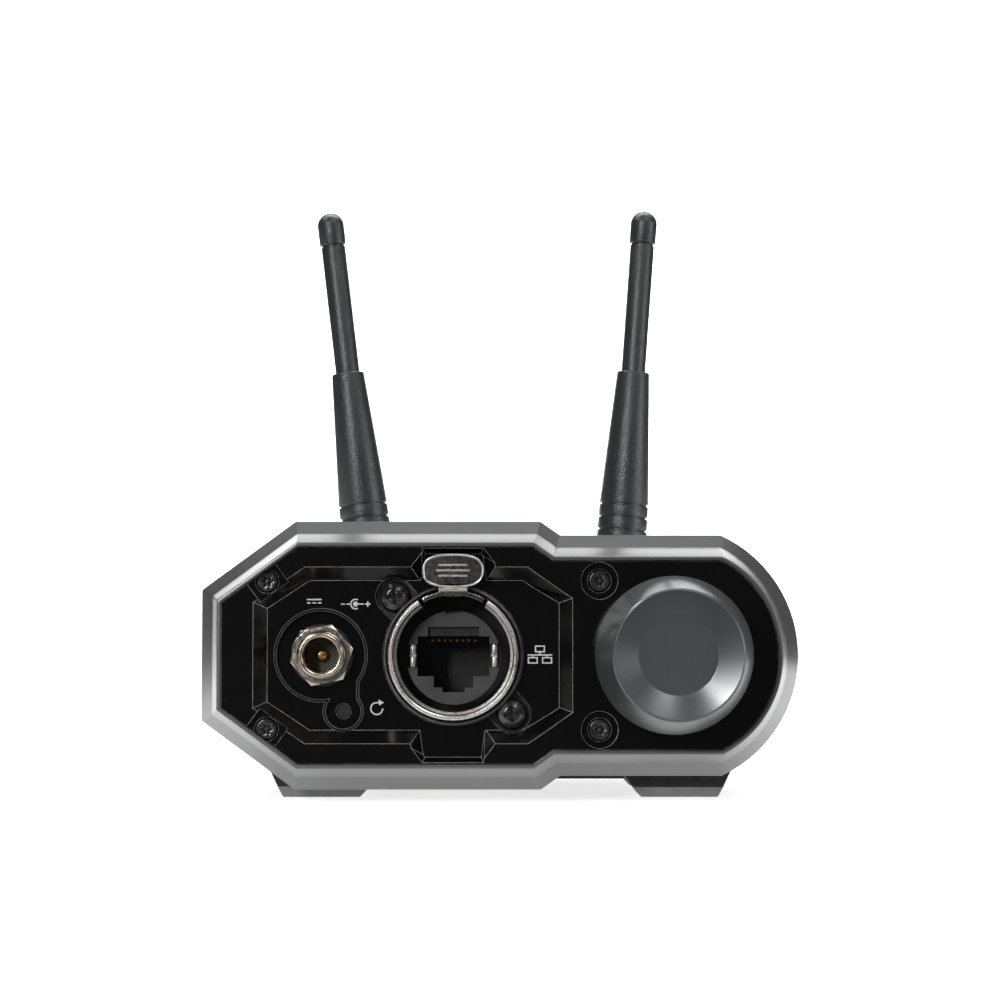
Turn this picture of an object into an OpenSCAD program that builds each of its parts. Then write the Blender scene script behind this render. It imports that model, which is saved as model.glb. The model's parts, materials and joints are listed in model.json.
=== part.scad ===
// Wireless receiver unit: a stand-mounted box with a connector panel at the front (-Y),
// a screw cap over its stand socket, and two folding antennas on its rear end.
// The outline is an eight-cornered block on the left that steps down to a rounded side on the right.

/* [Body] */
// Half of the body's width at its widest rim
half_w = 51.4; // [48:0.5:56]
// Half height of the left block at the rim
half_h_left = 23.05; // [22:0.25:25]
// Half height of the right block at the rim
half_h_right = 20.7; // [19.5:0.1:20.8]
// Length of the body from front lip to rear lip
body_len = 108; // [100:1:160]
// How far the rim of each end cap stands outside its lip
lip_inset = 4.24; // [3.5:0.1:4.5]
// Height of the feet's bottom below the body's centre line
axis_height = 24.8; // [24.4:0.1:28]

/* [Stand cap] */
// Radius of the cap at its skirt
cap_r = 13.04; // [12.5:0.1:14]
// Radius of the cap at its front edge
cap_front_r = 10.72; // [9.5:0.1:11.5]
// How far the cap stands out of the front lip
cap_reach = 18.6; // [12:0.2:22]
// Thread pitch of the cap
cap_pitch = 0.94; // [0.8:0.01:1.2]

/* [Connectors] */
// Radius of the network connector's bore
net_bore_r = 10.0; // [9.8:0.05:10.2]
// Bore radius of the power jack
dc_bore_r = 2.85; // [2.7:0.05:3]
// Distance from the network connector's centre to each of its screws, along X and Z
net_screw_offset = 9.8; // [9.6:0.05:10]

/* [Antennas] */
// Length of an antenna from its fold pin to its tip
whip_len = 88.6; // [60:0.2:120]
// Lean of the left antenna to the left, in degrees
lean_left = 6.75; // [0:0.05:8]
// Lean of the right antenna to the right, in degrees
lean_right = 4.2; // [0:0.1:8]
// Height of the antenna jacks above the centre line
jack_z = 6; // [0:0.5:7]

/* [Hidden] */
$fn = 64;

// Depth d is measured from the front lip towards the rear.
// The bounding box is centred on the origin: the cap reaches furthest forward, the sleeves furthest back.
fold_d = body_len + 13;
sleeve_foot_r = 5.5;
y_front = (cap_reach - fold_d - sleeve_foot_r) / 2;

// Body outline
side_z = 11.26;
corner_x = 35.3;
step_top_x = 7.0;
step_foot_x = 10.36;
round_r = 22.74;
round_x = half_w - round_r;
arc_steps = 40;
diagonal = atan((half_h_left - side_z) / (half_w - corner_x));
step_slope = atan((half_h_left - half_h_right) / (step_foot_x - step_top_x));
crest_inset = 2.35;
crest_d = 10.3;
rim_d = 16;
cap_end_d = 18;
lip_round = 0.4;
seat_inset = 4.9;
ledge_inset = 7.4;

// Panel levels, as depths
panel_face_d = 0.3;
recess_d = 2.4;
pocket_d = 3.4;
panel_back_d = 5.0;
ledge_back_d = 6.6;

// Panel recess, in front view about the connector's centre line
net_x = -7.83;
recess_left = 41.15;
recess_right = 12.1;
recess_h = 14.7;
recess_side_z_left = 8.8;
recess_side_z_right = 9.5;
recess_corner_left = 32.5;
recess_corner_right = 4.6;
notch_h = 17.8;
notch_half_top = 5.1;
notch_half_foot = 7.05;
bevel_w = 2.2;
bevel_d = recess_d - panel_face_d;
notch_bevel_w = 0.8;

// Case screws
case_left_x = -38.95;
case_left_z = 12.3;
case_right_x = 16.6;
case_right_z = 12.4;
CASE = [
    [case_left_x, case_left_z], [case_left_x, -case_left_z],
    [case_right_x, case_right_z], [case_right_x, -case_right_z],
];

// Power jack and reset
dc_x = -29.8;
dc_thread_r = 3.95;
dc_root_r = 3.6;
dc_front_d = -2.0;
reset_x = -26.2;
reset_z = -9.35;

// Network connector
shell_r = 10.9;
net_lip_d = -1.0;
net_bore_len = 6.5;
insert_face_d = 5.5;
insert_z = -0.4;
insert_r = 7.9;
panel_hole_r = 11.8;
ear_r = 3.2;
latch_pin_d = 8.3;
latch_pin_z = 11.4;

// Stand socket and cap
plug_r = 7.9;
socket_bore_r = 7.96;
socket_r = 10.4;
plug_end_d = 13.6;
cap_back_d = -0.9;
dish_r = 6.45;
dish_d = -cap_reach + 1.8;

// Antennas
left_jack_x = -25.95;
right_jack_x = 24.33;
jack_thread_r = 3.15;
nut_bore_r = 3.22;
stub_r = 2.2;
stub_bore_r = 2.27;
pin_r = 1.48;
prong_bore_r = 1.5;
lug_bore_r = 1.56;
base_r = 5.0;
prong_r = 4.6;
lug_r = 4.4;
lug_half_w = 2.35;
prong_in = 2.5;
prong_out = 4.9;
sleeve_foot_h = 6;
ring_top_h = 26.1;
ring_pitch = 2.7;
groove_w = 0.45;
groove_depth = 0.4;
sleeve_len = 54.1;
sleeve_top_r = 3.4;
ring_r = 5.15;
rod_r = 2.53;
tip_r = 2.8;
tip_h = 81.7;

// Board
board_top = -12.4;
board_t = 1.6;
board_front_d = 9;
board_back_d = 96;
BOARD_SCREWS = [[-29, 40], [6, 40], [-29, 86], [6, 86]];

// Shells
shell_gap = 0.3;
shell_inset = 0.3;
shell_wall = 2.2;
shell_front_d = cap_end_d + shell_gap / 3;
shell_back_d = body_len - cap_end_d - shell_gap / 3;
rear_panel_d = body_len - 1.5;

// ---- helpers ----

// Rebuilds a front-view shape (x, z) as a solid from depth d0 to depth d1
module slab(d0, d1) {
    translate([0, y_front + d1, axis_height]) rotate([90, 0, 0]) linear_extrude(d1 - d0) children();
}

// A round bar along Y
module bar(x, z, d0, d1, r) {
    translate([x, y_front + d1, axis_height + z]) rotate([90, 0, 0]) cylinder(r = r, h = d1 - d0);
}

// A (radius, depth) profile turned about an axis along Y
module turned(x, z) {
    translate([x, y_front, axis_height + z]) rotate([-90, 0, 0]) rotate_extrude() children();
}

// A block given by its lowest corner (x, depth, z) and its size
module block(x, d, z, sx, sy, sz) {
    translate([x, y_front + d, axis_height + z]) cube([sx, sy, sz]);
}

// A mirrored copy about the body's middle, for the rear end
module at_rear() {
    middle = y_front + body_len / 2;
    translate([0, middle, 0]) mirror([0, 1, 0]) translate([0, -middle, 0]) children();
}

// The body's outline, anticlockwise, moved inwards by inset
function outline(inset) =
    let (
        h1 = half_h_left - inset,
        h2 = half_h_right - inset,
        r = round_r - inset,
        a = asin(h2 / r),
        slip = inset * tan(step_slope / 2),
        corner = corner_x - inset * tan(diagonal / 2),
        side = side_z - inset * tan((90 - diagonal) / 2),
        w = half_w - inset
    )
    concat(
        [for (i = [0 : arc_steps]) let (t = -a + 2 * a * i / arc_steps) [round_x + r * cos(t), r * sin(t)]],
        [
            [step_foot_x - slip, h2], [step_top_x - slip, h1], [-corner, h1], [-w, side],
            [-w, -side], [-corner, -h1], [step_top_x - slip, -h1], [step_foot_x - slip, -h2],
        ]
    );

// The recess of the connector panel, moved inwards by side bevel b and notch bevel nb
function recess(b, nb) =
    let (
        h = recess_h - b,
        n = notch_h - nb,
        top = notch_half_top - nb / 2,
        foot = notch_half_foot - nb / 2 - b * 0.5,
        right = [
            [recess_corner_right - b * 0.35, h],
            [recess_right - b, recess_side_z_right - b * 0.35],
        ],
        left = [
            [-recess_left + b, recess_side_z_left - b * 0.45],
            [-recess_corner_left + b * 0.3, h],
        ],
        upper = concat(left, [[net_x - foot, h], [net_x - top, n], [net_x + top, n], [net_x + foot, h]], right)
    )
    concat([for (i = [len(upper) - 1 : -1 : 0]) upper[i]], [for (p = upper) [p[0], -p[1]]]);

// Joins outlines with equal numbers of points, each at its own depth, into one solid
module loft(rings, depths) {
    n = len(rings[0]);
    last = len(rings) - 1;
    points = [for (k = [0 : last], p = rings[k]) [p[0], y_front + depths[k], axis_height + p[1]]];
    sides = [
        for (k = [0 : last - 1], i = [0 : n - 1], half = [0, 1])
            let (j = (i + 1) % n, f = k * n, b = (k + 1) * n)
                half == 0 ? [f + i, f + j, b + j] : [f + i, b + j, b + i],
    ];
    front = [[for (i = [n - 1 : -1 : 0]) i]];
    back = [[for (i = [0 : n - 1]) last * n + i]];
    polyhedron(points = points, faces = concat(front, sides, back), convexity = 6);
}

// A six-lobed driver recess
module lobes(r) {
    polygon([for (i = [0 : 35]) let (a = i * 10) (r * 0.84 + r * 0.16 * cos(6 * a)) * [cos(a), sin(a)]]);
}

module hexagon(across_flats, turn) {
    rotate(turn) circle(r = across_flats / 2 / cos(30), $fn = 6);
}

// A screw along Y whose head faces the front, with a lobed recess and a security pin
module lobed_screw(x, z, head_d, head_r, head_h, shank_r, end_d, pin) {
    difference() {
        union() {
            bar(x, z, head_d, head_d + head_h, head_r);
            bar(x, z, head_d + head_h - 0.1, end_d, shank_r);
        }
        translate([x, 0, z]) slab(head_d - 0.1, head_d + head_h * 0.6) lobes(head_r * 0.6);
    }
    if (pin) bar(x, z, head_d + 0.2, head_d + head_h * 0.6 + 0.1, head_r * 0.16);
}

// ---- housing ----

module end_cap_body() {
    difference() {
        union() {
            difference() {
                loft(
                    [outline(lip_inset + lip_round), outline(lip_inset), outline(crest_inset), outline(0), outline(0)],
                    [0, lip_round, crest_d, rim_d, cap_end_d]
                );
                slab(-1, panel_back_d) polygon(outline(seat_inset));
                slab(panel_back_d - 0.01, ledge_back_d) polygon(outline(ledge_inset));
                slab(ledge_back_d - 0.01, cap_end_d + 1) polygon(outline(seat_inset));
            }
            intersection() {
                slab(panel_back_d, cap_end_d) polygon(outline(seat_inset - 0.5));
                union() {
                    for (p = CASE) bar(p[0], p[1], panel_back_d, cap_end_d, 3);
                    for (s = [-1, 1]) block(case_right_x - 1, panel_back_d, s > 0 ? case_right_z : -half_h_right,
                        2, cap_end_d - panel_back_d, half_h_right - case_right_z);
                }
            }
        }
        for (p = CASE) {
            bar(p[0], p[1], 0, cap_end_d + 1, 1.35);
            bar(p[0], p[1], 1.45, 3.45, 1.95);
        }
    }
}

// The front cap also carries the collar that holds the stand socket
module end_cap() {
    color([0.36, 0.36, 0.36]) {
        difference() {
            union() {
                end_cap_body();
                bar(round_x, 0, ledge_back_d + 0.6, cap_end_d - 0.2, 12.4);
                intersection() {
                    slab(ledge_back_d + 0.6, cap_end_d - 0.2) polygon(outline(seat_inset - 0.5));
                    for (a = [-90, 0, 90]) translate([round_x, 0, axis_height]) rotate([0, a, 0])
                        translate([11, y_front + ledge_back_d + 0.6, -1]) cube([9, cap_end_d - ledge_back_d - 0.8, 2]);
                }
            }
            bar(round_x, 0, ledge_back_d, cap_end_d, socket_r + 0.05);
            bar(case_right_x, case_right_z, 0, cap_end_d, 1.35);
            bar(case_right_x, -case_right_z, 0, cap_end_d, 1.35);
        }
    }
}

module antenna_end_cap() {
    color([0.36, 0.36, 0.36]) at_rear() end_cap_body();
}

module upper_half() {
    intersection() {
        children();
        block(-80, -40, 0.05, 160, body_len + 80, 60);
    }
}

module lower_half() {
    intersection() {
        children();
        block(-80, -40, -60.05, 160, body_len + 80, 60);
    }
}

// Both shells before they are split at the centre line
module shell_tube() {
    difference() {
        union() {
            difference() {
                loft([outline(shell_inset), outline(shell_inset)], [shell_front_d, shell_back_d]);
                slab(0, body_len) polygon(outline(shell_inset + shell_wall));
            }
            intersection() {
                slab(shell_front_d, shell_back_d) polygon(outline(shell_inset + 0.5));
                for (rear = [0, 1], p = CASE) {
                    d0 = rear ? shell_back_d - 10 : shell_front_d;
                    bar(p[0], p[1], d0, d0 + 10, p[0] < 0 ? 4.4 : 2.8);
                    if (p[0] > 0) block(case_right_x - 1, d0, p[1] > 0 ? p[1] : -half_h_right, 2, 10, half_h_right - abs(p[1]));
                }
            }
        }
        for (p = CASE) {
            bar(p[0], p[1], 0, shell_front_d + 9, 1.25);
            bar(p[0], p[1], shell_back_d - 9, body_len, 1.25);
        }
    }
}

SHELL_SCREWS = [[-46, 34], [-46, 74], [44, 44], [44, 74]];

module upper_shell() {
    color([0.07, 0.07, 0.075]) difference() {
        union() {
            upper_half() shell_tube();
            for (p = SHELL_SCREWS) intersection() {
                translate([p[0], y_front + p[1], axis_height + 0.05]) cylinder(r = 3, h = 12);
                slab(0, body_len) polygon(outline(shell_inset + 0.5));
            }
        }
        for (p = SHELL_SCREWS) translate([p[0], y_front + p[1], axis_height - 1]) cylinder(r = 1.25, h = 9);
    }
}

// The lower shell has a shallow belly under the right block, posts for the board and screw columns
module lower_shell() {
    belly_z = -half_h_right - 0.6;
    color([0.07, 0.07, 0.075]) difference() {
        union() {
            lower_half() shell_tube();
            block(9.2, shell_front_d + 0.5, belly_z, 12.2, shell_back_d - shell_front_d - 1, 1.4);
            for (p = BOARD_SCREWS) translate([p[0], y_front + p[1], axis_height - 21])
                cylinder(r = 2.6, h = 21 + board_top - board_t);
            for (p = SHELL_SCREWS) intersection() {
                translate([p[0], y_front + p[1], axis_height - 18]) cylinder(r = 3, h = 17.95);
                slab(0, body_len) polygon(outline(shell_inset + 0.5));
            }
            for (d = [34, 74]) translate([-12, y_front + d, axis_height - half_h_left + 1]) cylinder(r = 4.2, h = 6.6);
        }
        for (p = BOARD_SCREWS) translate([p[0], y_front + p[1], axis_height - 19]) cylinder(r = 1.08, h = 20);
        for (p = SHELL_SCREWS) translate([p[0], y_front + p[1], 0]) {
            cylinder(r = 1.6, h = axis_height + 1);
            cylinder(r = 2.7, h = axis_height - 8);
        }
        for (d = [34, 74]) translate([-12, y_front + d, -1]) cylinder(r = 2.9, h = axis_height - half_h_left + 8.2);
    }
}

// ---- connector panel ----

module key_pocket() {
    offset(r = -1) offset(r = 1) {
        translate([dc_x - 0.2, 0]) circle(r = 7.4);
        translate([reset_x, reset_z]) circle(r = 2.95);
        translate([reset_x - 2.2, reset_z]) square([4.4, 5]);
    }
}

module ears(r) {
    hull() for (s = [-1, 1]) translate([net_x - s * net_screw_offset, s * net_screw_offset]) circle(r = r, $fn = 32);
}

// The pads that the left case screws sit on lie across the corners, open towards the lip
module screw_pad(s) {
    translate([case_left_x, s * case_left_z]) rotate(s * diagonal) translate([-2.9, s > 0 ? -2.2 : -3.4]) square([5.8, 5.6]);
}

module connector_panel() {
    color([0.02, 0.02, 0.022]) difference() {
        slab(panel_face_d, panel_back_d) polygon(outline(seat_inset + 0.1));
        intersection() {
            loft(
                [recess(-0.2 * bevel_w, -0.2 * notch_bevel_w), recess(1.2 * bevel_w, 1.2 * notch_bevel_w)],
                [panel_face_d - 0.2 * bevel_d, recess_d + 0.2 * bevel_d]
            );
            block(-60, -2, -30, 120, recess_d + 2, 60);
        }
        slab(recess_d - 0.5, pocket_d) key_pocket();
        bar(reset_x, reset_z, 0, 10, 1.3);
        bar(dc_x, 0, 0, 10, dc_thread_r + 0.1);
        bar(net_x, 0, -1, 10, panel_hole_r);
        slab(1, 10) ears(ear_r);
        block(net_x - 3, 1, 9, 6, 9, 3.6);
        for (s = [-1, 1]) slab(-1, 1.5) screw_pad(s);
        for (p = CASE) {
            bar(p[0], p[1], -1, 10, 1.35);
            bar(p[0], p[1], -1, 3.4, 2.0);
        }
        for (s = [-1, 1]) bar(case_right_x, s * case_right_z, -1, 1.4, 3.1);
        bar(round_x, 0, -1, 10, 8.5);
    }
}

// ---- rear panel ----

module antenna_panel() {
    color([0.02, 0.02, 0.022]) difference() {
        at_rear() slab(1.5, panel_back_d) polygon(outline(seat_inset + 0.1));
        for (x = [left_jack_x, right_jack_x]) bar(x, jack_z, 90, 120, jack_thread_r + 0.1);
        for (x = [-6, 0, 6]) bar(x, jack_z, 90, 120, 1.35);
        for (p = CASE) bar(p[0], p[1], 90, 120, 1.35);
        for (p = CASE) bar(p[0], p[1], body_len - 3.4, 120, 2.0);
    }
}

module status_lenses() {
    color([0.75, 0.78, 0.78]) for (x = [-6, 0, 6]) {
        bar(x, jack_z, body_len - 6.5, rear_panel_d + 0.3, 1.25);
        bar(x, jack_z, body_len - 6.5, panel_lens_back(), 1.9);
    }
}
function panel_lens_back() = body_len - panel_back_d - 0.1;

// ---- stand socket and cap ----

module stand_socket() {
    color([0.62, 0.6, 0.56]) difference() {
        union() {
            bar(round_x, 0, panel_back_d + 0.05, 33, socket_r);
            bar(round_x, 0, panel_back_d + 0.05, ledge_back_d + 0.5, 12.4);
        }
        bar(round_x, 0, 0, 30, socket_bore_r);
    }
}

module stand_cap() {
    color([0.27, 0.27, 0.275]) difference() {
        turned(round_x, 0) polygon([
            [0, dish_d], [dish_r, dish_d], [cap_front_r - 0.35, -cap_reach], [cap_front_r, -cap_reach + 0.35],
            [cap_r, -5.8], [cap_r, -5.0], [cap_r - 0.5, cap_back_d], [0, cap_back_d],
        ]);
        bar(round_x, 0, -5.2, 0, plug_r + 0.05);
    }
}

// The plug's thread is drawn as a stack of ridges
module cap_plug() {
    turns = floor((plug_end_d - 4.6) / cap_pitch);
    root_r = plug_r - 0.45;
    color([0.55, 0.5, 0.4]) turned(round_x, 0) polygon(concat(
        [[0, -5.2], [plug_r, -5.2], [plug_r, -0.6], [root_r, -0.2], [root_r, 4.4]],
        [for (i = [0 : turns - 1], h = [0, 1])
            [h == 0 ? plug_r : root_r, 4.6 + (i + 0.35 + h * 0.5) * cap_pitch]],
        [[root_r - 0.3, plug_end_d], [0, plug_end_d]]
    ));
}

module cap_washer() {
    color([0.05, 0.05, 0.05]) difference() {
        bar(round_x, 0, cap_back_d + 0.02, panel_face_d - 0.02, 12.0);
        bar(round_x, 0, -3, 3, 8.6);
    }
}

// ---- network connector ----

// A wedge used to cut the ring open at the top for the latch
module top_wedge(half_angle) {
    polygon([[0, 0], [20 * sin(half_angle), 20 * cos(half_angle)], [-20 * sin(half_angle), 20 * cos(half_angle)]]);
}

module network_shell() {
    color([0.72, 0.7, 0.66]) difference() {
        union() {
            bar(net_x, 0, net_lip_d + 0.25, 14, shell_r);
            bar(net_x, 0, net_lip_d, net_lip_d + 0.3, shell_r - 0.25);
        }
        bar(net_x, 0, net_lip_d - 1, net_lip_d + net_bore_len, net_bore_r);
        bar(net_x, 0, net_lip_d, 20, 9.6);
        translate([net_x, 0, 0]) slab(net_lip_d - 1, 4.2) top_wedge(33);
    }
}

module network_body() {
    color([0.03, 0.03, 0.03]) difference() {
        union() {
            slab(pocket_d, panel_back_d + 0.2) {
                translate([net_x, 0]) circle(r = panel_hole_r - 0.15);
                ears(ear_r - 0.15);
            }
            slab(panel_back_d + 0.05, 24) translate([net_x - 12.2, -12.3]) square([24.4, 24.6]);
        }
        bar(net_x, 0, 0, 14.05, shell_r + 0.05);
        bar(net_x, insert_z, 0, 21.05, insert_r + 0.05);
        for (s = [-1, 1]) bar(net_x - s * net_screw_offset, s * net_screw_offset, 0, 14, 1.2);
        block(net_x - 5.6, -1, 9.0, 11.2, 12, 5.4);
        translate([net_x - 7.2, y_front + latch_pin_d, axis_height + latch_pin_z]) rotate([0, 90, 0])
            cylinder(r = 0.56, h = 14.4);
    }
}

// The modular socket: wide mouth, a stepped latch way below it and a ramp above it
module socket_mouth() {
    translate([net_x - 6.07, -3.56]) square([12.14, 6.76]);
    translate([net_x - 3.33, -5.45]) square([6.66, 2]);
    translate([net_x - 1.9, -6.25]) square([3.8, 1]);
}

module network_insert() {
    color([0.12, 0.12, 0.125]) difference() {
        bar(net_x, insert_z, insert_face_d, 21, insert_r);
        slab(0, 19) socket_mouth();
        slab(0, insert_face_d + 0.9) translate([net_x - 4.33, 3]) square([8.66, 1.8]);
        for (s = [-1, 1]) slab(0, 12) translate([net_x + s * 7.1 - 1.2, -2.1]) square([2.4, 4.0]);
        slab(0, insert_face_d + 2) translate([net_x - 1.3, 7.0]) square([2.6, 2]);
    }
}

module network_contacts() {
    color([0.83, 0.62, 0.2]) for (i = [-3.5 : 1 : 3.5])
        translate([net_x + i * 1.02, y_front + 19, axis_height + 1.2]) rotate([82, 0, 0]) cylinder(r = 0.2, h = 9.6, $fn = 16);
}

module network_shield_tabs() {
    color([0.75, 0.75, 0.74]) for (s = [-1, 1]) difference() {
        block(net_x + s * 6.85 - 0.55, insert_face_d + 0.1, -2.0, 1.1, 5, 3.8);
        block(net_x + s * 6.85 - (s < 0 ? 0.1 : 0.6), insert_face_d - 1, -0.3, 0.7, 5, 0.5);
    }
}

// Tab outline: a rounded barrel over a narrow neck
module tab_shape() {
    intersection() {
        translate([0, 14.1]) square([10.2, 5.6], center = true);
        translate([0, 5.2]) circle(r = 11.7);
        translate([2.0, 13.9]) circle(r = 7.1);
        translate([-2.0, 13.9]) circle(r = 7.1);
    }
    translate([-2.4, 10.4]) square([4.8, 1.4]);
}

module network_latch() {
    color([0.7, 0.68, 0.64]) {
        translate([net_x, 0, 0]) slab(-0.9, 0.1) tab_shape();
        block(net_x - 2.4, -0.1, 11.0, 4.8, 9.0, 0.8);
        translate([net_x, 0, 0]) slab(-0.5, 3.0) intersection() {
            difference() {
                circle(r = 10.75);
                circle(r = 10.05);
            }
            top_wedge(29);
        }
        block(net_x - 1.4, 2.0, 9.85, 2.8, 1.6, 1.0);
        translate([net_x - 7, y_front + latch_pin_d, axis_height + latch_pin_z]) rotate([0, 90, 0]) cylinder(r = 0.5, h = 14);
    }
}

module network_screws() {
    color([0.06, 0.06, 0.06]) for (s = [-1, 1]) {
        x = net_x - s * net_screw_offset;
        z = s * net_screw_offset;
        difference() {
            union() {
                turned(x, z) polygon([[0, 1.2], [1.4, 1.3], [2.3, 2.0], [2.65, 3.0], [2.65, pocket_d - 0.02], [0, pocket_d - 0.02]]);
                bar(x, z, pocket_d - 0.1, 13.5, 1.15);
            }
            translate([x, 0, z]) slab(0, 2.6) lobes(1.35);
        }
    }
}

// ---- power jack ----

// Inside its nut and behind it the thread is drawn at its root radius
module dc_jack_barrel() {
    color([0.75, 0.72, 0.66]) turned(dc_x, 0) polygon([
        [dc_bore_r, dc_front_d], [dc_thread_r - 0.55, dc_front_d], [dc_thread_r, dc_front_d + 0.5],
        [dc_thread_r, 1.05], [dc_root_r, 1.05], [dc_root_r, 7.2], [dc_bore_r, 7.2],
    ]);
}

module dc_jack_nut() {
    color([0.72, 0.7, 0.64]) difference() {
        translate([dc_x, 0, 0]) slab(1.1, 3.0) hexagon(9.4, 12);
        bar(dc_x, 0, 0, 5, dc_root_r + 0.02);
    }
}

module dc_jack_washer() {
    color([0.72, 0.7, 0.64]) difference() {
        bar(dc_x, 0, 3.02, pocket_d - 0.02, 5.2);
        bar(dc_x, 0, 0, 5, dc_thread_r + 0.04);
    }
}

module dc_jack_insulator() {
    color([0.1, 0.08, 0.06]) difference() {
        bar(dc_x, 0, 4.2, 9.9, dc_bore_r - 0.03);
        bar(dc_x, 0, 0, 20, 1.03);
    }
}

module dc_centre_pin() {
    color([0.75, 0.6, 0.3]) {
        bar(dc_x, 0, 2.6, 16, 1.0);
        translate([dc_x, y_front + 2.6, axis_height]) intersection() {
            sphere(r = 1.0);
            translate([-2, -2, -2]) cube([4, 2.01, 4]);
        }
    }
}

module dc_jack_body() {
    color([0.04, 0.04, 0.04]) difference() {
        block(dc_x - 5.2, panel_back_d + 0.05, -5.5, 10.4, 10, 11);
        bar(dc_x, 0, 0, 7.25, dc_root_r + 0.03);
        bar(dc_x, 0, 0, 9.95, dc_bore_r);
        bar(dc_x, 0, 0, 20, 1.03);
    }
}

// Solder lugs behind the jack, with the wires that run down to the board
module dc_leads() {
    color([0.6, 0.1, 0.08]) for (x = [-2.6, 2.6])
        translate([dc_x + x, y_front + 17.5, axis_height + board_top]) cylinder(r = 0.65, h = 9.2, $fn = 24);
    color([0.75, 0.75, 0.72]) for (x = [-2.6, 2.6]) block(dc_x + x - 0.9, 15.08, -3.3, 1.8, 3.2, 0.5);
}

// ---- reset ----

module reset_button() {
    color([0.05, 0.05, 0.055]) {
        bar(reset_x, reset_z, 3.9, 9.6, 1.22);
        bar(reset_x, reset_z, panel_back_d + 0.15, panel_back_d + 1.0, 1.9);
    }
}

module reset_switch() {
    color([0.1, 0.1, 0.1]) block(reset_x - 3, 10.6, board_top, 6, 3.6, 6);
}

// ---- screws ----

module case_screws() {
    color([0.08, 0.08, 0.085]) for (p = CASE) lobed_screw(p[0], p[1], 1.6, 1.75, 1.8, 1.15, shell_front_d + 7.5, true);
}

module rear_screws() {
    color([0.08, 0.08, 0.085]) at_rear() for (p = CASE) lobed_screw(p[0], p[1], 1.6, 1.75, 1.8, 1.15, shell_front_d + 7.5, true);
}

module shell_screws() {
    color([0.08, 0.08, 0.085]) for (p = SHELL_SCREWS) translate([p[0], y_front + p[1], 0]) {
        translate([0, 0, axis_height - 10]) cylinder(r = 2.5, h = 1.98);
        translate([0, 0, axis_height - 8.1]) cylinder(r = 1.2, h = 14);
    }
}

module bracket_inserts() {
    color([0.72, 0.57, 0.3]) for (d = [34, 74]) translate([-12, y_front + d, axis_height - half_h_left + shell_inset]) difference() {
        cylinder(r = 2.85, h = 6.5);
        translate([0, 0, -1]) cylinder(r = 1.65, h = 9);
    }
}

// ---- electronics ----

module main_board() {
    color([0.05, 0.25, 0.12]) difference() {
        union() {
            block(-33.5, board_front_d, board_top - board_t, 45, board_back_d - board_front_d, board_t);
            block(10, 42, board_top - board_t, 24, board_back_d - 42, board_t);
        }
        for (p = BOARD_SCREWS) translate([p[0], y_front + p[1], 0]) cylinder(r = 1.3, h = axis_height);
        block(case_right_x - 5, shell_back_d - 12, board_top - 4, 10, 30, 8);
    }
}

module board_chips() {
    color([0.06, 0.06, 0.065]) {
        block(-12, 44, board_top, 14, 14, 1.4);
        block(-26, 46, board_top, 9, 8, 1.2);
        block(14, 50, board_top, 12, 8, 1.1);
        block(-27, 62, board_top, 7, 7, 1.0);
    }
}

module rf_shield_can() {
    color([0.7, 0.71, 0.7]) block(-16, 64, board_top, 26, 18, 2.6);
}

module network_transformer() {
    color([0.05, 0.05, 0.05]) block(net_x - 8, 27, board_top, 16, 12, 6.5);
}

module board_capacitors() {
    color([0.15, 0.15, 0.2]) for (x = [-31, -24.5]) translate([x + 2, y_front + 28, axis_height + board_top]) cylinder(r = 3, h = 8.5);
    color([0.2, 0.2, 0.2]) block(20, 64, board_top, 10, 10, 5);
}

module board_screws() {
    color([0.7, 0.7, 0.68]) for (p = BOARD_SCREWS) translate([p[0], y_front + p[1], axis_height + board_top]) {
        cylinder(r = 2.3, h = 1.5);
        translate([0, 0, -6]) cylinder(r = 1.02, h = 6.1);
    }
}

// A coax lead: back from the board's connector, up, then into the antenna jack
module coax(x) {
    bend = 4;
    drop_d = body_len - 12;
    color([0.12, 0.12, 0.12]) {
        translate([x, y_front + drop_d - 1 - bend, axis_height + board_top + 1]) cylinder(r = 0.7, h = jack_z - bend - board_top - 1, $fn = 24);
        translate([x, y_front + drop_d - 1, axis_height + jack_z - bend]) rotate([0, -90, 0]) rotate([0, 0, 90])
            rotate_extrude(angle = 90, $fn = 48) translate([bend, 0]) circle(r = 0.7, $fn = 24);
        bar(x, jack_z, drop_d - 1, body_len - 9.02, 0.7);
    }
    color([0.8, 0.62, 0.25]) translate([x, y_front + drop_d - 1 - bend, axis_height + board_top]) cylinder(r = 1.4, h = 1.02, $fn = 32);
}

module left_coax() { coax(left_jack_x); }
module right_coax() { coax(right_jack_x); }

// ---- antenna jacks and antennas ----

module jack(x) {
    color([0.78, 0.63, 0.3]) difference() {
        union() {
            bar(x, jack_z, body_len - 9, body_len + 7, jack_thread_r);
            translate([x, 0, jack_z]) slab(body_len - 7.1, body_len - panel_back_d - 0.05) hexagon(8, 0);
        }
        bar(x, jack_z, body_len + 3, body_len + 8, 2.3);
    }
}

module left_jack() { jack(left_jack_x); }
module right_jack() { jack(right_jack_x); }

module jack_nuts() {
    color([0.7, 0.7, 0.68]) for (x = [left_jack_x, right_jack_x]) difference() {
        translate([x, 0, jack_z]) slab(rear_panel_d + 0.02, rear_panel_d + 2) hexagon(8, 0);
        bar(x, jack_z, body_len - 5, body_len + 5, jack_thread_r + 0.03);
    }
}

module antenna_nuts() {
    color([0.7, 0.69, 0.66]) for (x = [left_jack_x, right_jack_x]) difference() {
        bar(x, jack_z, body_len + 1.2, body_len + 8.4, 4.5);
        bar(x, jack_z, body_len, body_len + 7.3, nut_bore_r);
        bar(x, jack_z, body_len, body_len + 12, stub_bore_r);
    }
}

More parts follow.
